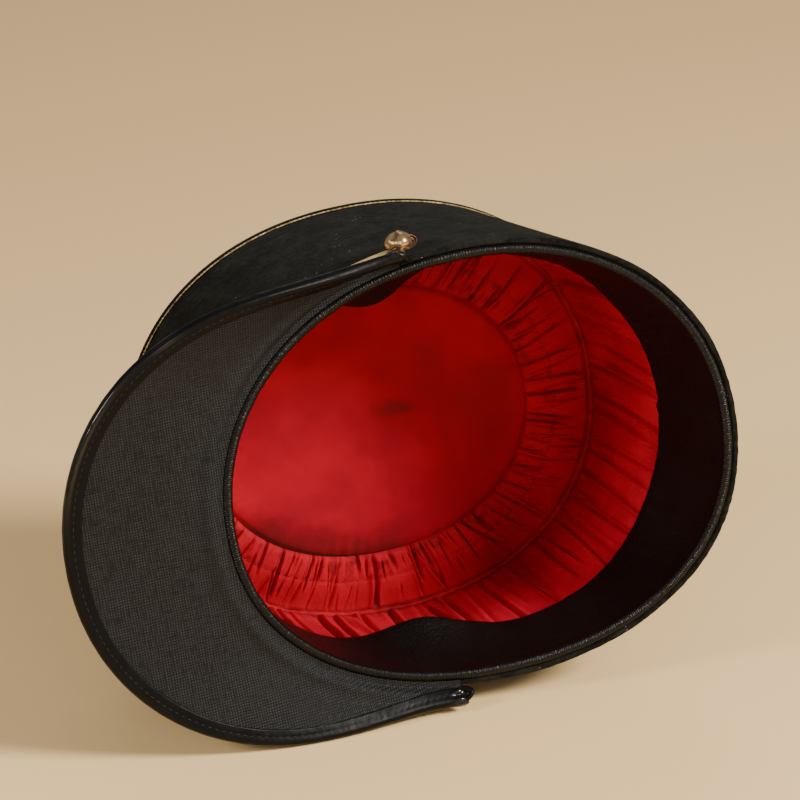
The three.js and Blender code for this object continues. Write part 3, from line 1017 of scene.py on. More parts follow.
@dataclass
class Crown:
    """The felt wall, the flat top, the piping between them and the nap."""

    bench: Bench
    shape: CapShape
    board_top: float = 2.5
    peak_sweep: float = math.radians(82.7)
    past_peak: float = math.radians(-1.7)
    run_out: float = math.radians(0.5)
    overhang: float = 0.9
    fibres: int = 20000
    fibre_length: float = 1.7
    fibre_width: float = 0.07
    bevel: float = 0.8
    wall_steps: int = 480
    top_steps: int = 240
    piping_turns: float = 170
    piping_length: float = 590

    def wall_foot(self, t: Array) -> Array:
        """Height of the wall's foot, which stands on the peak over the brow."""
        clear = self.peak_sweep + self.past_peak
        past = smooth_step(np.abs(self.shape.from_brow(t)), clear, clear + self.run_out)
        return self.shape.rim_height(t) + (self.board_top + self.shape.gap) * (1 - past)

    def section(self) -> Array:
        """The wall's section: inset, share of the height, and millimetres added to the height."""
        shape = self.shape
        neck = shape.piping_radius + shape.gap
        foot_out = [(1.25, 0, 0), (0.6, 0, 0.12), (0.18, 0, 0.5)]
        outer = [(0, share, 1.1 - 2.2 * share) for share in np.linspace(0, 1, 13)]
        notch = [(0.15, 1, -neck), (neck, 1, -neck), (neck, 1, shape.piping_radius)]
        inner = [(shape.felt, share, 1.1 - 0.3 * share) for share in np.linspace(1, 0, 9)]
        foot_in = [(shape.felt - 0.2, 0, 0.5), (shape.felt - 0.6, 0, 0.12)]
        return np.array(foot_out + outer + notch + inner + foot_in)

    def side(self) -> Piece:
        """The felt wall, a little uneven as blocked felt is."""
        shape = self.shape
        section = self.section()
        blank = self.bench.ring("felt_wall", self.wall_steps, len(section))
        row = np.round(blank.v * len(section)).astype(int) % len(section)
        inset, share, lift = section[row].T
        foot = self.wall_foot(blank.u)
        z = foot + share * (shape.crown_height - foot) + lift
        uneven = Ripples(3, 14, 2, 17, 5).at(blank.u, share) * 0.16 * (inset < shape.felt / 2)
        edge = Ripples(4, 16, 30, 150, 0).at(blank.u) * 0.14 * (share == 0)
        points = shape.wall(blank.u, z + edge, inset + uneven)
        flat = np.stack([blank.u * 95, share * 110], -1)
        self.bench.lay(blank, points, flat)
        self.bench.weld(blank.piece)
        return self.bench.finish(blank.piece, Felt(), "crown_side")

    def top(self) -> Piece:
        """The flat felt top."""
        shape = self.shape
        blank = self.bench.disc("felt_top", self.top_steps, 14)
        radius = 1 - np.clip(1 - blank.v, 0, 1) ** 1.35
        edge = shape.top(blank.u)
        level_edge = np.concatenate([edge, np.full((len(edge), 1), shape.top_middle)], -1)
        over_floor = self.bench.cap.place(level_edge)[:, 2]
        overhang = np.clip(over_floor / MM - 0.2, 0, self.overhang)
        outline = edge + [0, shape.top_forward] + overhang[:, None] * shape.outward(blank.u)[:, :2]
        level = outline * radius[:, None] - [0, shape.top_forward]
        swell = Ripples(8, 10, 1, 6, 6).at(blank.u, radius) * 0.18 * radius
        z = shape.top_middle - shape.top_thickness / 2 + swell * (1 - radius**6)
        self.bench.lay(blank, np.concatenate([level, z[:, None]], -1), level)
        self.bench.weld(blank.piece)
        self.bench.face(blank.piece, -self.bench.cap.up)
        self.bench.modify(blank.piece, "SOLIDIFY", thickness=shape.top_thickness * MM, offset=-1)
        corners = {"limit_method": "ANGLE", "angle_limit": math.radians(60)}
        self.bench.modify(blank.piece, "BEVEL", width=self.bevel * MM, segments=3, **corners)
        return self.bench.finish(blank.piece, Felt(), "crown_top")

    def piping(self) -> Piece:
        """The thin gold cord in the seam."""
        shape = self.shape

        def path(share: Array) -> Course:
            """Middle of the cord, outward and up."""
            t = share * TURN
            height = np.full(t.shape, shape.crown_height)
            up = np.broadcast_to([0.0, 0.0, 1.0], (len(t), 3))
            return shape.wall(t, height, -0.3), shape.outward(t), up

        radius = 0.44 * shape.piping_radius
        steps = round(9 * self.piping_turns)
        cord = self.bench.twisted(
            "gold_piping", path, self.piping_turns, radius, 2, steps, True, self.piping_length
        )
        worn = Gilt(name="gilt_piping", bright=(0.6, 0.44, 0.2), worn=(0.16, 0.11, 0.05))
        return self.bench.finish(cord, worn, "top_piping", sharp=80)

    def nap(self, sources: Sequence[Piece]) -> Piece:
        """Loose wool fibres standing off the felt.

        Args:
            sources: The felt pieces that they grow on.

        Returns:
            One piece with all of them.
        """
        rng = np.random.default_rng(17)
        cap = self.bench.cap
        middle = cap.place(np.array([0, -self.shape.top_forward / 2, self.shape.crown_height / 2]))
        roots, normals, areas = [], [], []
        for source in sources:
            area = np.zeros(len(source.data.polygons))
            source.data.polygons.foreach_get("area", area)
            roots.append(self.bench.rows(source.data.polygons, "center"))
            normals.append(self.bench.rows(source.data.polygons, "normal"))
            areas.append(area)
        roots, normals, areas = np.concatenate(roots), np.concatenate(normals), np.concatenate(areas)
        shows = ((roots - middle) * normals).sum(1) > 0.0
        shows &= roots[:, 2] > 2 * MM
        chance = np.where(shows, areas, 0)
        pick = rng.choice(len(roots), self.fibres, p=chance / chance.sum())
        jitter = rng.normal(0, 1, (self.fibres, 3)) * np.sqrt(areas[pick])[:, None] * 0.45
        normal = normals[pick]
        jitter -= normal * (jitter * normal).sum(1)[:, None]
        root = roots[pick] + jitter - normal * 0.1 * MM
        sideways = unit(np.cross(normal, rng.normal(0, 1, (self.fibres, 3))))
        lean = unit(normal * rng.uniform(0.15, 0.9, (self.fibres, 1)) + sideways)
        length = rng.uniform(0.35, 1.0, (self.fibres, 1)) * self.fibre_length * MM
        width = np.cross(lean, normal) * self.fibre_width * MM / 2
        bend = root + lean * length * 0.55
        tip = root + lean * length + sideways * length * rng.uniform(-0.3, 0.2, (self.fibres, 1))
        points = np.stack([root - width, root + width, bend + width * 0.8, bend - width * 0.8, tip], 1)
        first = 5 * np.arange(self.fibres)[:, None]
        quads = (first + [0, 1, 2, 3]).tolist()
        tips = (first + [3, 2, 4]).tolist()
        piece = self.bench.from_faces("felt_nap", points.reshape(-1, 3), quads + tips)
        return self.bench.finish(piece, Felt())

    def build(self) -> None:
        """Builds all of the crown."""
        wall = self.side()
        top = self.top()
        self.piping()
        self.nap([wall, top])


@dataclass
class Peak:
    """The leather peak: its board, its embossed underside, its patent binding and the stitches."""

    bench: Bench
    shape: CapShape
    length: float = 60.2
    sweep: float = math.radians(82.7)
    slope: float = math.radians(4.1)
    slope_right: float = math.radians(47.4)
    slope_left: float = math.radians(80)
    curve: float = 2.0
    taper: float = 1.645
    board: float = 1.2
    lining: float = 1.0
    end_margin: float = 0.7
    binding: float = 1.0
    strip: float = 7.2
    tucked_under: float = 0.4
    welt: float = 1.1
    layer_rows: int = 32
    layer_steps: int = 220
    edging_steps: int = 1040
    stitch_pitch: float = 2.9
    stitch_inset: float = 3.7
    layer_sweep: float = 0.987
    glints: tuple[tuple[float, float, float], ...] = (
        (0.2, 0.1, 1.0), (0.44, 0.03, 0.6), (0.97, 0.02, 0.25), (-0.98, 0.02, 1.0), (-0.35, 0.3, 0.12)
    )
    corner: float = 0.02

    @property
    def board_bottom(self) -> float:
        """Lift of the board's underside."""
        return self.lining + self.shape.gap

    @property
    def board_top(self) -> float:
        """Lift of the board's upper face."""
        return self.board_bottom + self.board

    def reach(self, side: Array) -> Array:
        """Length in front of the rim, for sides from -1 at the right end to 1 at the left end."""
        front = self.length * (1 - np.minimum(np.abs(side), 1) ** self.curve) ** self.taper
        return front + (self.strip + self.end_margin) * side**4

    def point(self, side: Array, out: Array, lift: Array) -> Array:
        """Points a distance out from the rim and a lift square to the underside."""
        t = BROW + side * self.sweep
        end = np.where(side < 0, self.slope_right, self.slope_left)
        slope = self.slope + (end - self.slope) * side**2
        forward = np.maximum(out, 0)
        level = np.minimum(out, 0) + forward * np.cos(slope)
        height = -forward * np.sin(slope)
        bend = np.where(out < 0, 0, np.tan(slope / 2))
        level += np.where(out > 0, lift * np.sin(slope), lift * bend)
        height += np.where(out > 0, lift * np.cos(slope), lift)
        rim = self.shape.rim(t)
        base = np.concatenate([rim, (self.shape.rim_height(t) + height)[..., None]], -1)
        return base + self.shape.outward(t) * level[..., None]

    def normal(self, side: Array) -> Array:
        """Direction off the upper face, outside the rim."""
        out = np.full(side.shape, 5.0)
        return unit(self.point(side, out, 1.0) - self.point(side, out, 0.0))

    def plate(
        self,
        name: str,
        end: Callable[[Array], Array],
        bottom: float,
        top: float,
        sag: float,
        welt: float = 0.0,
    ) -> Blank:
        """A closed layer from under the wall out to an end.

        Args:
            name: The piece's name.
            end: Where the layer ends for each side.
            bottom: Lift of its underside.
            top: Lift of its upper face.
            sag: Unevenness of its faces.
            welt: Height of the soft ridge along the rim.

        Returns:
            The blank, laid and closed.
        """
        rows = self.layer_rows
        blank = self.bench.strip(name, self.layer_steps, 2 * rows)
        side = (2 * blank.u - 1) * self.layer_sweep
        row = np.round(blank.v * 2 * rows).astype(int) % (2 * rows)
        under = row < rows
        share = np.where(under, row, 2 * rows - 1 - row) / (rows - 1)
        out = -self.shape.felt + (end(side) + self.shape.felt) * share
        uneven = Ripples(21, 12, 2, 9, 4).at(side * math.pi, share) * sag
        ridge = np.where(under, welt, 0) * np.exp(-(((out - 3.2) / 2.4) ** 2))
        lift = np.where(under, bottom, top) + uneven * smooth_step(out, 1, 8) - ridge
        points = self.point(side, out, lift)
        self.bench.lay(blank, points, points[:, :2])
        self.bench.weld(blank.piece, cap_ends=True)
        return blank

    def upper(self) -> Piece:
        """The board, whose upper face shows from above."""

        def end(side: Array) -> Array:
            """Inside the fold of the binding."""
            return self.reach(side) - self.binding - self.shape.gap

        blank = self.plate("peak_board", end, self.board_bottom, self.board_top, 0.05)
        return self.bench.finish(blank.piece, PeakLeather(), "peak")

    def underside(self) -> Piece:
        """The embossed leather under the peak."""

        def end(side: Array) -> Array:
            """A little way under the binding's lip."""
            return self.reach(side) - self.strip + self.tucked_under

        blank = self.plate("peak_underside", end, 0.0, self.lining, 0.12, welt=self.welt)
        return self.bench.finish(blank.piece, LinenLeather(), "peak_lining")

    def binding_section(self) -> Array:
        """The folded leather's section as distances from the peak's edge and lifts, with a puffed lip."""
        low, high = self.lining - self.binding, self.board_top + self.shape.gap + self.binding
        middle, half = (low + high) / 2, (high - low) / 2
        under = [(x, low - 0.28 - 0.12 * math.sin(math.pi * (x + self.strip) / self.strip))
                 for x in np.linspace(-self.strip + 0.4, -1.6, 12)]
        nose = [(-half * 0.62 * (1 - math.cos(a)), middle + (half + 0.12) * math.sin(a))
                for a in np.linspace(-1.35, 1.35, 13)]
        over = [(x, high + 0.1) for x in np.linspace(-1.6, -self.strip + 0.4, 12)]
        upper_lip = [(-self.strip, high - 0.35), (-self.strip + 0.1, high - self.binding)]
        inside = [(-self.binding, high - self.binding), (-self.binding, low + self.binding)]
        lower_lip = [(-self.strip + 0.1, low + self.binding), (-self.strip, low + 0.15)]
        return np.array(under + nose + over + upper_lip + inside + lower_lip)

    def edging(self) -> Piece:
        """The patent binding, dented along its stitches and crumpled at both ends."""
        section = self.binding_section()
        count = len(section)
        blank = self.bench.strip("peak_edging", self.edging_steps, count)
        side = 2 * blank.u - 1
        row = np.round(blank.v * count).astype(int) % count
        back, lift = section[row].T
        closeness = smooth_step(np.abs(side), 0.95, 0.98) * (1 - smooth_step(np.abs(side), 0.98, 0.992))
        inside = (back < -0.9) & (lift > self.lining - 0.05) & (lift < self.board_top + 0.35)
        crumple = Ripples(31, 9, 9, 30, 6).at(side * math.pi, row / 6.0) * 0.32 * closeness
        pucker = Ripples(32, 16, 20, 80, 3).at(side * math.pi, row / 9.0) * 0.02
        run = np.interp(side, *self.edge_run())
        beside = np.exp(-(((back + self.stitch_inset) / 0.7) ** 2))
        dents = beside * (0.07 + 0.03 * np.cos(TURN * run / self.stitch_pitch))
        push = np.where(inside, 0, crumple + pucker - dents)
        middle = (self.lining + self.board_top + self.shape.gap) / 2
        lift = lift + push * np.sign(lift - middle)
        corner = np.clip((np.abs(side) - 1 + self.corner) / self.corner, 0, 1) ** 2
        lift = middle + (lift - middle) * np.sqrt(1 - 0.88 * corner)
        back = back - 0.3 * corner * (back + self.strip / 2)
        out = self.reach(side) + back + np.where(back > -1.2, push, 0)
        points = self.point(side, out, lift)
        shine = sum(weight * np.exp(-(((side - place) / width) ** 2)) for place, width, weight in self.glints)
        glossy = np.maximum(smooth_step(back, -2.6, -1.4), smooth_step(-side, 0.955, 0.975))
        self.bench.store(blank.piece, "shine", np.clip(shine, 0, 1) * glossy)
        self.bench.lay(blank, points, np.stack([side * 150, blank.v * 20], -1))
        self.bench.weld(blank.piece, cap_ends=True)
        return self.bench.finish(blank.piece, Patent(), "peak_binding")

    def edge_run(self) -> tuple[Array, Array]:
        """Shares from end to end of the stitch line, and the length of the line up to each."""
        fine = np.linspace(-1, 1, 4001)
        path = self.point(fine, self.reach(fine) - self.stitch_inset, np.zeros(fine.shape))
        steps = np.linalg.norm(np.diff(path, axis=0), axis=1)
        return fine, np.concatenate([[0], np.cumsum(steps)])

    def stitches(self) -> Piece:
        """One row of stitches through both leaves, along the middle of the binding."""
        fine, run = self.edge_run()
        side = np.interp(np.arange(1.5 * self.stitch_pitch, run[-1] - 2, self.stitch_pitch), run, fine)
        places, axes = [], []
        below = self.lining - self.binding - 0.26
        above = self.board_top + self.shape.gap + self.binding + 0.02
        for lift in np.full((2, *side.shape), [[below], [above]]):
            here, ahead = (
                self.point(at, self.reach(at) - self.stitch_inset, lift) for at in (side, side + 0.004)
            )
            along = unit(ahead - here)
            normal = self.normal(side)
            places.append(here)
            axes.append(np.stack([along, unit(np.cross(normal, along)), normal], 1))
        master = self.bench.stitch(self.stitch_pitch * 0.66, 0.16)
        row = self.bench.copies("edging_stitches", master, np.concatenate(places), np.concatenate(axes))
        return self.bench.finish(row, Thread())

    def end_middle(self, sign: float, share: Array) -> Array:
        """Middle of one folded end, from inside the seam out over the peak's corner."""
        swing = np.sin(math.pi * np.clip(share, 0, 1))
        lift = 0.5 - 1.7 * swing + 1.8 * share
        return self.point(sign * (0.982 + 0.026 * swing), 0.05 + 6.65 * share, lift)

    def folded_ends(self) -> Piece:
        """The ends of the binding, twisted round the peak's corners into the seam."""
        made = []
        for sign in (-1.0, 1.0):
            blank = self.bench.strip(f"folded_end_{int(sign)}", 60, 28)
            share, angle = blank.u, TURN * blank.v
            along = unit(self.end_middle(sign, share + 0.03) - self.end_middle(sign, share - 0.03))
            across = unit(np.cross(along, self.normal(np.full(share.shape, sign))))
            over = np.cross(across, along)
            folds = 1 + 0.17 * np.cos(2 * angle + 4 * share) + 0.07 * np.cos(5 * angle - 7 * share)
            radius = 1.12 * folds * np.sqrt(np.clip(1.04 - np.abs(2 * share - 1) ** 4, 0.05, 1))
            points = self.end_middle(sign, share) + across * (radius * np.cos(angle))[:, None]
            self.bench.lay(blank, points + over * (radius * np.sin(angle))[:, None])
            self.bench.weld(blank.piece, cap_ends=True)
            made.append(blank.piece)
        return self.bench.finish(self.bench.join(made, "folded_ends"), Patent(name="folded_patent"), sharp=80)

    def build(self) -> None:
        """Builds all of the peak."""
        self.upper()
        self.underside()
        self.edging()
        self.folded_ends()
        self.stitches()


@dataclass
class Mouth:
    """The leather roll round the mouth and the sweatband inside it."""

    bench: Bench
    shape: CapShape
    roll_radius: float = 1.8
    roll_proud: float = 0.8
    band: float = 1.3
    band_height: float = 43.2
    lean: tuple[float, float, float] = (6.7, 10.5, 11.4)
    dents: tuple[tuple[float, float, float], ...] = ((0.525, 0.12, 0.026), (0.972, 0.14, 0.024))
    roll_steps: int = 1500
    band_steps: int = 720
    band_rows: int = 24

    @property
    def roll_inset(self) -> float:
        """Distance from the wall's outer face to the middle of the roll."""
        return self.shape.felt + self.shape.gap + self.roll_radius

    def dent(self, t: Array) -> Array:
        """How far the buckles push the free edge in."""
        depth = np.zeros_like(t)
        for turn, share, width in self.dents:
            away = t / TURN - turn
            away -= np.round(away)
            depth += self.shape.rim_half_width * share * np.exp(-((away / width) ** 2) / 2)
        return depth

    def inset(self, t: Array, share: Array) -> Array:
        """Distance from the wall's outer face to the middle of the band, from foot to free edge."""
        edge = self.shape.around(t, *self.lean) - self.band / 2
        return self.roll_inset + (edge - self.roll_inset) * share + self.dent(t) * share**2

    def height(self, t: Array, share: Array) -> Array:
        """Height of the band over the mouth."""
        foot = self.shape.rim_height(t) + 2 * self.roll_radius - self.roll_proud + self.shape.gap
        return foot + (self.band_height - foot) * share

    def roll(self) -> Piece:
        """The roll: leather drawn over a cord against the felt, with fine ridges across it."""
        shape = self.shape
        blank = self.bench.ring("mouth_roll", self.roll_steps, 18)
        angle = TURN * blank.v
        fine = Ripples(41, 22, 180, 330, 2).at(blank.u, angle) * 0.03
        broad = Ripples(42, 10, 20, 70, 1).at(blank.u, angle) * 0.05
        radius = self.roll_radius + 0.22 + fine + broad
        z = shape.rim_height(blank.u) + self.roll_radius - self.roll_proud
        centre = shape.wall(blank.u, z, self.roll_inset - 0.1)
        points = centre + shape.outward(blank.u) * (radius * np.cos(angle))[:, None]
        points[:, 2] += radius * np.sin(angle)
        self.bench.lay(blank, points, np.stack([blank.u * 92, blank.v * 11.3], -1))
        self.bench.weld(blank.piece)
        leather = SweatLeather(name="roll_leather", shine=0.33, grain=0.3, crimp=0.85, gloss=0.2)
        return self.bench.finish(blank.piece, leather, "rim_roll", sharp=80)

    def sweatband(self) -> Piece:
        """The band, with soft waves, a rounded free edge and its joint at the nape."""
        shape = self.shape
        rows = self.band_rows
        blank = self.bench.ring("sweat_leather_band", self.band_steps, 2 * rows)
        row = np.round(blank.v * 2 * rows).astype(int) % (2 * rows)
        inner = row < rows
        share = np.where(inner, row, 2 * rows - 1 - row) / (rows - 1)
        thin = self.band / 2 * np.sqrt(np.clip((1 - share) / 0.02, 0.15, 1))
        waves = Ripples(51, 12, 3, 12, 5).at(blank.u, share) * 0.5 * share**2
        creases = Ripples(52, 14, 30, 90, 8).at(blank.u, share) * 0.07
        joint = shape.from_brow(blank.u + math.pi)
        overlap = 0.7 * (smooth_step(joint, -0.004, 0.0) - smooth_step(joint, 0.0, 0.05)) * (share > 0.1)
        inset = self.inset(blank.u, share) + waves + creases + overlap + np.where(inner, thin, -thin)
        notch = 1.3 * np.exp(-np.abs(joint) / np.where(joint > 0, 0.012, 0.16)) * share**6
        z = self.height(blank.u, share) - notch
        points = shape.wall(blank.u, z, inset)
        flat = np.stack([blank.u * 85, share * 40], -1)
        self.bench.lay(blank, points, flat)
        self.bench.weld(blank.piece)
        return self.bench.finish(blank.piece, SweatLeather(), "sweatband")

    def build(self) -> None:
        """Builds the roll and the band."""
        self.roll()
        self.sweatband()


@dataclass
class Lining:
    """The red lining: a flat disc, a gathered ring, a piped seam and a gathered side."""

    bench: Bench
    shape: CapShape
    mouth: Mouth
    cloth: float = 0.5
    disc_half_width: float = 55.0
    disc_half_length: float = 67.3
    disc_forward: float = 15.5
    disc_depth: float = 6.0
    seam_radius: float = 1.2
    seam_depth: float = 3.5
    seam_inset: tuple[float, float, float] = (4.6, 6.2, 7.8)
    puff: float = 2.6
    stitch_across: float = 0.42
    deep_creases: Creases = Creases(
        71, 66, (0.005, 0.012), (0.6, 1.8), (0.0, 0.05), (0.4, 1.2), (-0.07, 0.07)
    )
    short_creases: Creases = Creases(
        72, 140, (0.0035, 0.008), (0.25, 0.9), (0.0, 0.2), (0.25, 0.9), (-0.06, 0.06)
    )
    outer_creases: Creases = Creases(
        73, 105, (0.004, 0.009), (0.25, 0.95), (0.3, 0.7), (0.95, 1.3), (-0.09, 0.09)
    )
    side_creases: Creases = Creases(
        91, 80, (0.007, 0.018), (0.5, 1.7), (-0.1, 0.2), (0.6, 1.4), (0.02, 0.14), 0.75
    )
    side_nicks: Creases = Creases(
        92, 110, (0.006, 0.013), (0.2, 0.7), (-0.1, 0.02), (0.12, 0.45), (0.0, 0.1), 0.5
    )
    tuck: float = 9.0
    disc_steps: int = 360
    gather_steps: int = 1500
    seam_steps: int = 1080
    side_steps: int = 1400
    stitch_count: int = 165

    @property
    def disc_face(self) -> float:
        """Height of the disc's visible face."""
        return self.shape.crown_height - self.disc_depth

    @property
    def seam_height(self) -> float:
        """Height of the seam's middle."""
        return self.shape.crown_height - self.seam_depth

    def disc_point(self, t: Array) -> Array:
        """Outline of the disc."""
        return self.shape.oval(t, self.disc_half_width, self.disc_half_length, 0, self.disc_forward)

    def disc(self) -> Piece:
        """The flat middle, drawn a little by the seam round it."""
        blank = self.bench.disc("lining_middle", self.disc_steps, 30)
        centre = np.array([0, -self.disc_forward])
        level = (self.disc_point(blank.u) - centre) * (blank.v + 0.012 * (blank.v > 0.999))[:, None] + centre
        drawn = Ripples(61, 20, 20, 90, 5).at(blank.u, blank.v) * 0.22 * smooth_step(blank.v, 0.8, 1.0)
        soft = Ripples(62, 12, 1, 5, 6).at(blank.u, blank.v * 2) * 0.35 * blank.v * (1 - blank.v**4)
        tucked = 1.1 * smooth_step(blank.v, 0.965, 1.0)
        z = self.disc_face + soft + drawn + tucked
        self.bench.lay(blank, np.concatenate([level, z[:, None]], -1), level)
        self.bench.weld(blank.piece)
        self.bench.face(blank.piece, -self.bench.cap.up)
        self.bench.modify(blank.piece, "SOLIDIFY", thickness=self.cloth * MM, offset=-1)
        piece = self.bench.finish(blank.piece, RedCotton(name="red_disc"), "lining_disc")
        return piece

    def gather_surface(self, t: Array, across: Array) -> tuple[Array, Array]:
        """Points of the gathered ring's visible face, and how much painted shade each gets: deep in a crease,
        along the stitch line and at both edges.
        """
        inset = self.shape.around(t, *self.seam_inset) + self.seam_radius - 0.2
        seam = self.shape.wall(t, np.full(t.shape, self.seam_height), inset)[:, :2]
        inner = self.disc_point(t)
        deep, hollow = self.deep_creases.at(t, across)
        short, nick = self.short_creases.at(t, across)
        outer, groove = self.outer_creases.at(t, across)
        soft = Ripples(77, 14, 20, 70, 4).at(t, across) * 0.16
        line = np.exp(-(((across - self.stitch_across) / 0.03) ** 2))
        lip = smooth_step(across, 0.0, 0.05)
        dome = 1 - (1 - np.clip(across / 0.35, 0, 1)) ** 2
        fall = 1 - 0.8 * smooth_step(across, 0.45, 1.0)
        swell = self.puff * (0.45 * lip + 0.55 * dome * lip) * fall
        ends = 1 - smooth_step(across, 0.95, 1.0)
        relief = (deep + short + outer + soft - 0.25 * line) * ends
        base = self.disc_face + (self.seam_height - self.disc_face) * across
        level = inner + (seam - inner) * across[:, None]
        ruffle = (0.4 * (deep + short) + 0.2 * soft) * (1 - smooth_step(across, 0.0, 0.16))
        level -= self.shape.outward(t)[:, :2] * ruffle[:, None]
        # Painted shadow lines along the disc's edge and under the seam, and a little painted shade along the
        # stitch line.
        rims = 0.35 * (1 - smooth_step(across, 0.0, 0.02)) + 0.85 * smooth_step(across, 0.93, 0.975)
        shade = np.clip(np.maximum.reduce([hollow, nick * 0.9, groove * 0.8, rims]) + 0.12 * line, 0, 1)
        return np.concatenate([level, (base + 0.5 - swell - relief)[:, None]], -1), shade

    def gather(self) -> Piece:
        """The ring between the disc and the seam, drawn together by a running stitch."""
        blank = self.bench.strip("gathered_ring", self.gather_steps, 30)
        t = TURN * blank.u
        points, hollow = self.gather_surface(t, blank.v)
        # Painted shade in the creases and along the edges, kept for the cotton's colour.
        self.bench.store(blank.piece, "hollow", hollow)
        self.bench.store(blank.piece, "dusty", 1 - smooth_step(np.abs(blank.v - 0.25), 0.1, 0.35))
        self.bench.lay(blank, points, np.stack([blank.u * 700, blank.v * 34], -1))
        self.bench.weld(blank.piece)
        self.bench.face(blank.piece, -self.bench.cap.up)
        self.bench.modify(blank.piece, "SOLIDIFY", thickness=self.cloth * MM, offset=-1)
        colours = {"clean": (0.46, 0.0085, 0.022), "deep": (0.36, 0.0068, 0.018)}
        cotton = RedCotton(name="red_gather", part=RedPart.GATHER, **colours)
        piece = self.bench.finish(blank.piece, cotton, "lining_gather")
        return piece

    def running_stitch(self) -> Piece:
        """The dark thread that draws the ring together, seen where it comes over the folds."""
        count = self.stitch_count
        rng = np.random.default_rng(79)
        t = TURN * (np.arange(count) + rng.uniform(-0.2, 0.2, count)) / count
        across = np.full(count, self.stitch_across) + rng.uniform(-0.006, 0.006, count)
        here, _ = self.gather_surface(t, across)
        ahead, _ = self.gather_surface(t + 0.008, across)
        along = unit(ahead - here)
        down = np.broadcast_to([0.0, 0.0, -1.0], along.shape)
        side = unit(np.cross(down, along))
        axes = np.stack([along, side, np.cross(along, side)], 1)
        here[:, 2] -= 0.08
        master = self.bench.stitch(2.0, 0.14)
        row = self.bench.copies("running_stitch", master, here, axes)
        thread = Thread(slot="red_cotton", name="red_thread", colour=(0.03, 0.005, 0.006))
        return self.bench.finish(row, thread)

    def seam(self) -> Piece:
        """The piped seam, puckered where the gathers are sewn into it."""
        shape = self.shape
        blank = self.bench.ring("piped_seam", self.seam_steps, 12)
        angle = TURN * blank.v
        radius = self.seam_radius + 0.15 + 0.16 * Ripples(81, 18, 50, 170, 2).at(blank.u, angle)
        height = np.full(blank.u.shape, self.seam_height)
        inset = shape.around(blank.u, *self.seam_inset) + 0.3 * Ripples(82, 8, 5, 24).at(blank.u)
        points = shape.wall(blank.u, height, inset)
        points += shape.outward(blank.u) * (radius * np.cos(angle))[:, None]
        points[:, 2] += radius * np.sin(angle) - 0.4
        flat = np.stack([blank.u * 85, blank.v * 7.5], -1)
        self.bench.lay(blank, points, flat)
        self.bench.weld(blank.piece)
        cotton = RedCotton(name="red_seam", part=RedPart.SEAM, clean=(0.5, 0.009, 0.018), satin=0.06)
        return self.bench.finish(blank.piece, cotton, "lining_seam", sharp=80)

    def side(self) -> Piece:
        """The gathered side, from the seam down behind the sweatband."""
        shape = self.shape
        blank = self.bench.strip("gathered_side", self.side_steps, 34)
        t, down = TURN * blank.u, blank.v
        top = self.seam_height - self.seam_radius * 0.6
        foot = self.mouth.band_height - self.tuck
        start = shape.around(t, *self.seam_inset) + 0.3
        back = shape.around(t, *self.mouth.lean) - self.mouth.band - self.shape.gap - self.cloth
        hem = shape.felt + shape.gap + self.cloth
        lower = (hem + back) / 2
        rest = start + (lower - start) * smooth_step(down, 0, 0.25)
        long, hollow = self.side_creases.at(t, down)
        short, nick = self.side_nicks.at(t, down)
        broad = Ripples(97, 10, 5, 19, 3).at(t, down)
        fade = smooth_step(down, 0, 0.05)
        relief = (long + short) * fade + 0.5 * broad * smooth_step(down, 0.05, 0.4)
        inset = np.clip(rest + relief, hem - 0.2, None)
        inset = np.where(down > 0.8, np.minimum(inset, back + 0.2), inset)
        points = shape.wall(t, top + (foot - top) * down, inset)
        # Painted shade in the creases and a painted shadow line under the seam, kept for the cotton's colour.
        edge = 0.85 * (1 - smooth_step(down, 0.03, 0.06))
        shade = np.maximum(np.maximum(hollow * 0.55, nick * 0.7) * fade, edge)
        self.bench.store(blank.piece, "hollow", shade)
        self.bench.store(blank.piece, "dusty", 0.3 * (1 - smooth_step(down, 0.1, 0.5)))
        self.bench.lay(blank, points, np.stack([blank.u * 700, down * 74], -1))
        self.bench.weld(blank.piece)
        self.bench.face_inwards(blank.piece, self.bench.cap.place(points).mean(0))
        self.bench.modify(blank.piece, "SOLIDIFY", thickness=self.cloth * MM, offset=-1)
        # The side's cotton is painted lighter than the same cotton elsewhere, as painted light.
        colours = {"clean": (0.5, 0.009, 0.028), "deep": (0.36, 0.0066, 0.02)}
        cotton = RedCotton(name="red_side", part=RedPart.SIDE, satin=0.12, **colours)
        piece = self.bench.finish(blank.piece, cotton, "lining_side")
        return piece

    def build(self) -> None:
        """Builds all of the lining."""
        self.gather()
        self.disc()
        self.running_stitch()
        self.seam()
        self.side()


class Side(Enum):
    """A side of the head, with the angle from the brow at which its button sits."""

    LEFT = math.radians(83.8)
    RIGHT = -math.radians(80.2)

    @property
    def rise(self) -> float:
        """Height of the button's middle over the strap's."""
        return 0.0 if self is Side.LEFT else 2.6


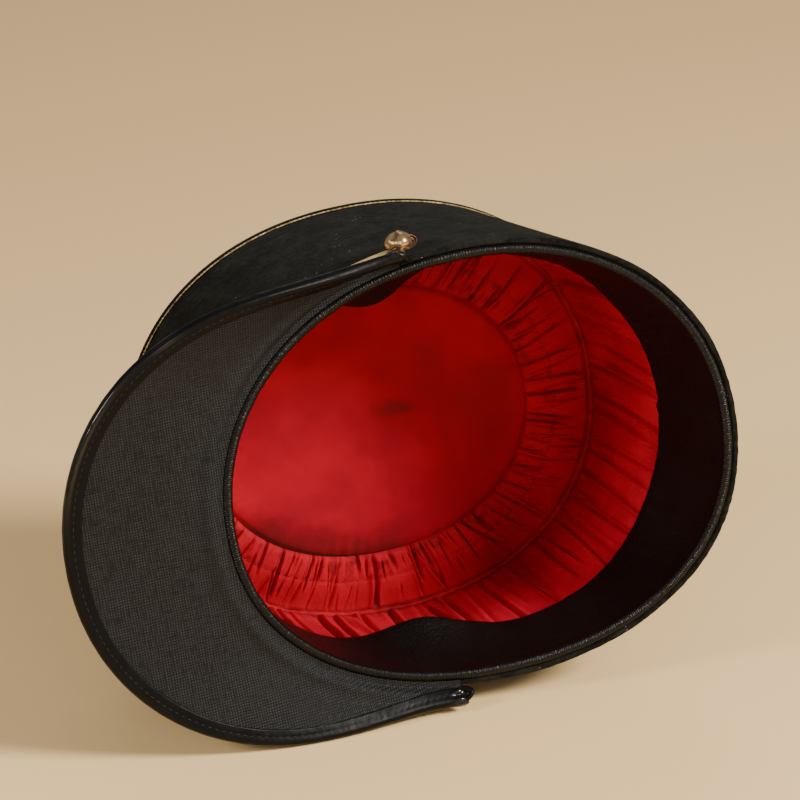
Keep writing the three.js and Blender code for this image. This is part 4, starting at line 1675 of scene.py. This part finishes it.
@dataclass
class Strap:
    """The gold strap, its two brass buttons and the wire that holds them."""

    bench: Bench
    shape: CapShape
    peak: Peak
    width: float = 5.5
    thickness: float = 2.4
    rise: float = 0.4
    tail: float = -0.6
    taper: float = 3.0
    button_radius: float = 5.2
    button_height: float = 6.2
    ball_cut: float = -0.22
    ball_back: float = -0.48
    button_back: tuple[tuple[float, float], ...] = ((0.1, 0.86), (0.06, 0.7), (0.1, 1), (0, 0.5), (0.5, 1))
    wire: float = 0.12

    def middle(self, t: Array) -> Array:
        """Height of the strap's middle, which rises a little beside the buttons."""
        turn = np.degrees(np.abs(self.shape.from_brow(t)))
        rise = self.rise + 1.3 * smooth_step(turn, 55, 72) - 0.9 * smooth_step(turn, 74, 84)
        return self.shape.rim_height(t) + self.peak.board_top + self.shape.gap + rise + self.width / 2

    def strap(self) -> Piece:
        """Two gilt cords side by side, from button to button round the brow."""
        tail = self.tail / self.shape.rim_half_width
        start = BROW + Side.RIGHT.value - tail
        end = BROW + Side.LEFT.value + tail
        radius = self.width / 4
        cords = []
        for number, offset in enumerate((-radius, radius)):

            def path(share: Array, offset: float = offset) -> Course:
                """Middle of one cord, outward and up, drawn in at both ends."""
                t = start + (end - start) * share
                near = np.minimum(share, 1 - share) * (end - start) * self.shape.rim_half_width / self.taper
                slim = np.sqrt(np.clip(1 - (1 - np.clip(near, 0, 1)) ** 2, 0.02, 1))
                centre = self.shape.wall(t, self.middle(t) + offset * slim, -(self.shape.gap + radius))
                up = np.broadcast_to([0.0, 0.0, 1.0], centre.shape)
                return centre, self.shape.outward(t) * slim[:, None], up * slim[:, None]

            cords.append(self.bench.twisted(f"strap_cord_{number}", path, 0, radius, 1, 360, False, 270))
        strap = self.bench.join(cords, "gold_strap")
        braid = Gilt(name="gilt_braid", bright=(1.0, 0.76, 0.36), worn=(0.5, 0.33, 0.12), lengthwise=True)
        return self.bench.finish(strap, braid, "chin_strap", sharp=80)

    def axes(self, side: Side) -> tuple[Array, Array]:
        """Foot of a button and its three axes: along the rim, up the crown and outwards."""
        angle = np.array([BROW + side.value])
        clear = self.thickness + 2 * self.shape.gap
        foot = self.shape.wall(angle, self.middle(angle) + side.rise, -clear)[0]
        out = self.shape.outward(angle)[0]
        up = np.array([0.0, 0.0, 1.0])
        return foot, np.stack([np.cross(up, out), up, out])

    def button(self, side: Side) -> Piece:
        """A domed button: a ball cut flat behind, its edge turned under, on a shank, with small knocks."""
        self.bench.clear_selection()
        bpy.ops.mesh.primitive_uv_sphere_add(segments=48, ring_count=24, radius=1)
        piece = bpy.context.object
        piece.name = f"brass_button_{side.name.lower()}"
        with editing():
            bpy.ops.mesh.bisect(plane_co=(0, 0, self.ball_cut), plane_no=(0, 0, 1), clear_inner=True)
            bpy.ops.mesh.select_all(action="DESELECT")
            bpy.ops.mesh.select_non_manifold()
            for drop, narrower in self.button_back:
                bpy.ops.mesh.extrude_edges_move(TRANSFORM_OT_translate={"value": (0, 0, -drop)})
                bpy.ops.transform.resize(value=(narrower, narrower, 1))
            bpy.ops.mesh.edge_face_add()
            bpy.ops.mesh.select_all(action="SELECT")
            bpy.ops.mesh.normals_make_consistent(inside=False)
        shape = self.bench.points(piece)
        shank = shape[:, 2] < self.ball_back - 0.1
        shape[:, 2] -= self.ball_back
        shape[:, 2] *= self.button_height / shape[:, 2].max()
        shape[shank, 2] = -self.thickness - self.shape.gap
        shape[:, :2] *= self.button_radius
        angle = np.arctan2(shape[:, 1], shape[:, 0])
        knocks = Ripples(101 + len(side.name), 9, 2, 6, 3).at(angle, shape[:, 2] / 2)
        shape *= (1 + knocks * 0.035)[:, None]
        foot, axes = self.axes(side)
        self.bench.lay(Blank(piece, angle, angle), foot + shape @ axes)
        return self.bench.finish(piece, OldBrass(), f"button_{side.name.lower()}")

    def loops(self, side: Side) -> Piece:
        """Three hoops of copper wire round the button's foot, standing out towards the nape."""
        foot, axes = self.axes(side)
        towards_nape = 1.0 if side is Side.LEFT else -1.0
        reach, rise = (3.4, 1.0) if side is Side.LEFT else (7.0, -0.6)
        made = []
        for number in range(3):
            blank = self.bench.ring(f"loop_{side.name.lower()}_{number}", 64, 8)
            angle = TURN * blank.v
            wide = 1.3 + 1.25 * number + self.wire * np.cos(angle)
            tall = 0.9 + 0.85 * number + self.wire * np.cos(angle)
            local = np.stack([
                towards_nape * (reach + wide * np.cos(blank.u)),
                -1.6 + 0.6 * number + self.wire * np.sin(angle) + 0.3 * np.sin(blank.u + number),
                rise + tall * np.sin(blank.u),
            ], -1)
            self.bench.lay(blank, foot + local @ axes)
            self.bench.weld(blank.piece)
            made.append(blank.piece)
        return self.bench.finish(self.bench.join(made, f"copper_loops_{side.name.lower()}"), Copper())

    def build(self) -> None:
        """Builds the strap, the buttons and their wire."""
        self.strap()
        for side in Side:
            self.button(side)
            self.loops(side)


@dataclass
class Studio:
    """A plain pale floor, soft lights and the camera."""

    cap: CapFrame
    floor_colour: Colour = (0.97, 0.665, 0.32)
    world_colour: Colour = (0.8, 0.74, 0.68)
    world_strength: float = 0.27
    eye: tuple[float, float, float] = (460.3, -410.6, -1483.7)
    forward: tuple[float, float, float] = (-0.267, 0.2408, 0.9331)
    upward: tuple[float, float, float] = (0.9531, 0.2089, 0.2188)
    lens: float = 190.0
    lights: tuple[tuple[str, tuple[float, float, float], float, float], ...] = field(
        default=(
            ("key", (1.2, -1.2, 1.2), 0.6, 67.0),
            ("left_strip", (-1.3, -0.55, 0.75), 0.4, 12.0),
            ("back_fill", (0.6, 1.5, 1.5), 0.9, 5.0),
            ("front_fill", (-0.5, -1.7, 0.7), 1.0, 8.0),
        )
    )

    def floor(self) -> None:
        """A large pale floor with a faint grain."""
        bpy.ops.object.select_all(action="DESELECT")
        bpy.ops.mesh.primitive_plane_add(size=8)
        floor = bpy.context.object
        floor.name = "floor"
        material = bpy.data.materials.new("pale_floor")
        material.use_nodes = True
        kit = NodeKit(material)
        grain = kit.noise(kit.place(), 260, 3)
        paler = tuple(min(1.0, 1.06 * part) for part in self.floor_colour)
        colour = kit.blend(grain, self.floor_colour, paler)
        kit.set(Base_Color=colour, Roughness=0.75, Specular_IOR_Level=0.25)
        floor.data.materials.append(material)

    def light(self) -> None:
        """Soft area lights towards the cap, and an even surround."""
        world = bpy.data.worlds.new("surround")
        bpy.context.scene.world = world
        world.use_nodes = True
        background = world.node_tree.nodes["Background"]
        background.inputs["Color"].default_value = (*self.world_colour, 1.0)
        background.inputs["Strength"].default_value = self.world_strength
        for name, place, size, power in self.lights:
            lamp = bpy.data.lights.new(name, "AREA")
            lamp.shape = "DISK"
            lamp.size = size
            lamp.energy = power
            lamp.color = (1.0, 0.94, 0.86)
            holder = bpy.data.objects.new(name, lamp)
            holder.location = place
            aim = Vector((0, 0, 0.08)) - Vector(place)
            holder.rotation_euler = aim.to_track_quat("-Z", "Y").to_euler()
            bpy.context.collection.objects.link(holder)

    def camera(self) -> None:
        """The camera at the photograph's angle, given in the cap's own axes."""
        forward = unit(self.cap.turn(np.array(self.forward)))
        right = unit(np.cross(forward, self.cap.turn(np.array(self.upward))))
        up = np.cross(right, forward)
        data = bpy.data.cameras.new("camera")
        data.lens = self.lens
        data.clip_start = 0.05
        camera = bpy.data.objects.new("camera", data)
        place = np.eye(4)
        place[:3, :3] = np.stack([right, up, -forward], 1)
        place[:3, 3] = self.cap.place(np.array(self.eye))
        camera.matrix_world = Matrix(place.tolist())
        bpy.context.collection.objects.link(camera)
        bpy.context.scene.camera = camera

    def build(self) -> None:
        """Sets the stage."""
        self.floor()
        self.light()
        self.camera()


def main() -> None:
    """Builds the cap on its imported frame."""
    logging.basicConfig(level=logging.INFO, format="%(name)s %(message)s")
    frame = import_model()
    shape = CapShape()
    cap = CapFrame.from_crown_top(frame["nodes"]["crown_top"], shape.top_middle, shape.top_forward)
    bench = Bench(cap)
    studio = Studio(cap)
    studio.build()
    Crown(bench, shape).build()
    peak = Peak(bench, shape)
    peak.build()
    mouth = Mouth(bench, shape)
    mouth.build()
    Lining(bench, shape, mouth).build()
    Strap(bench, shape, peak).build()


if __name__ == "__main__":
    main()
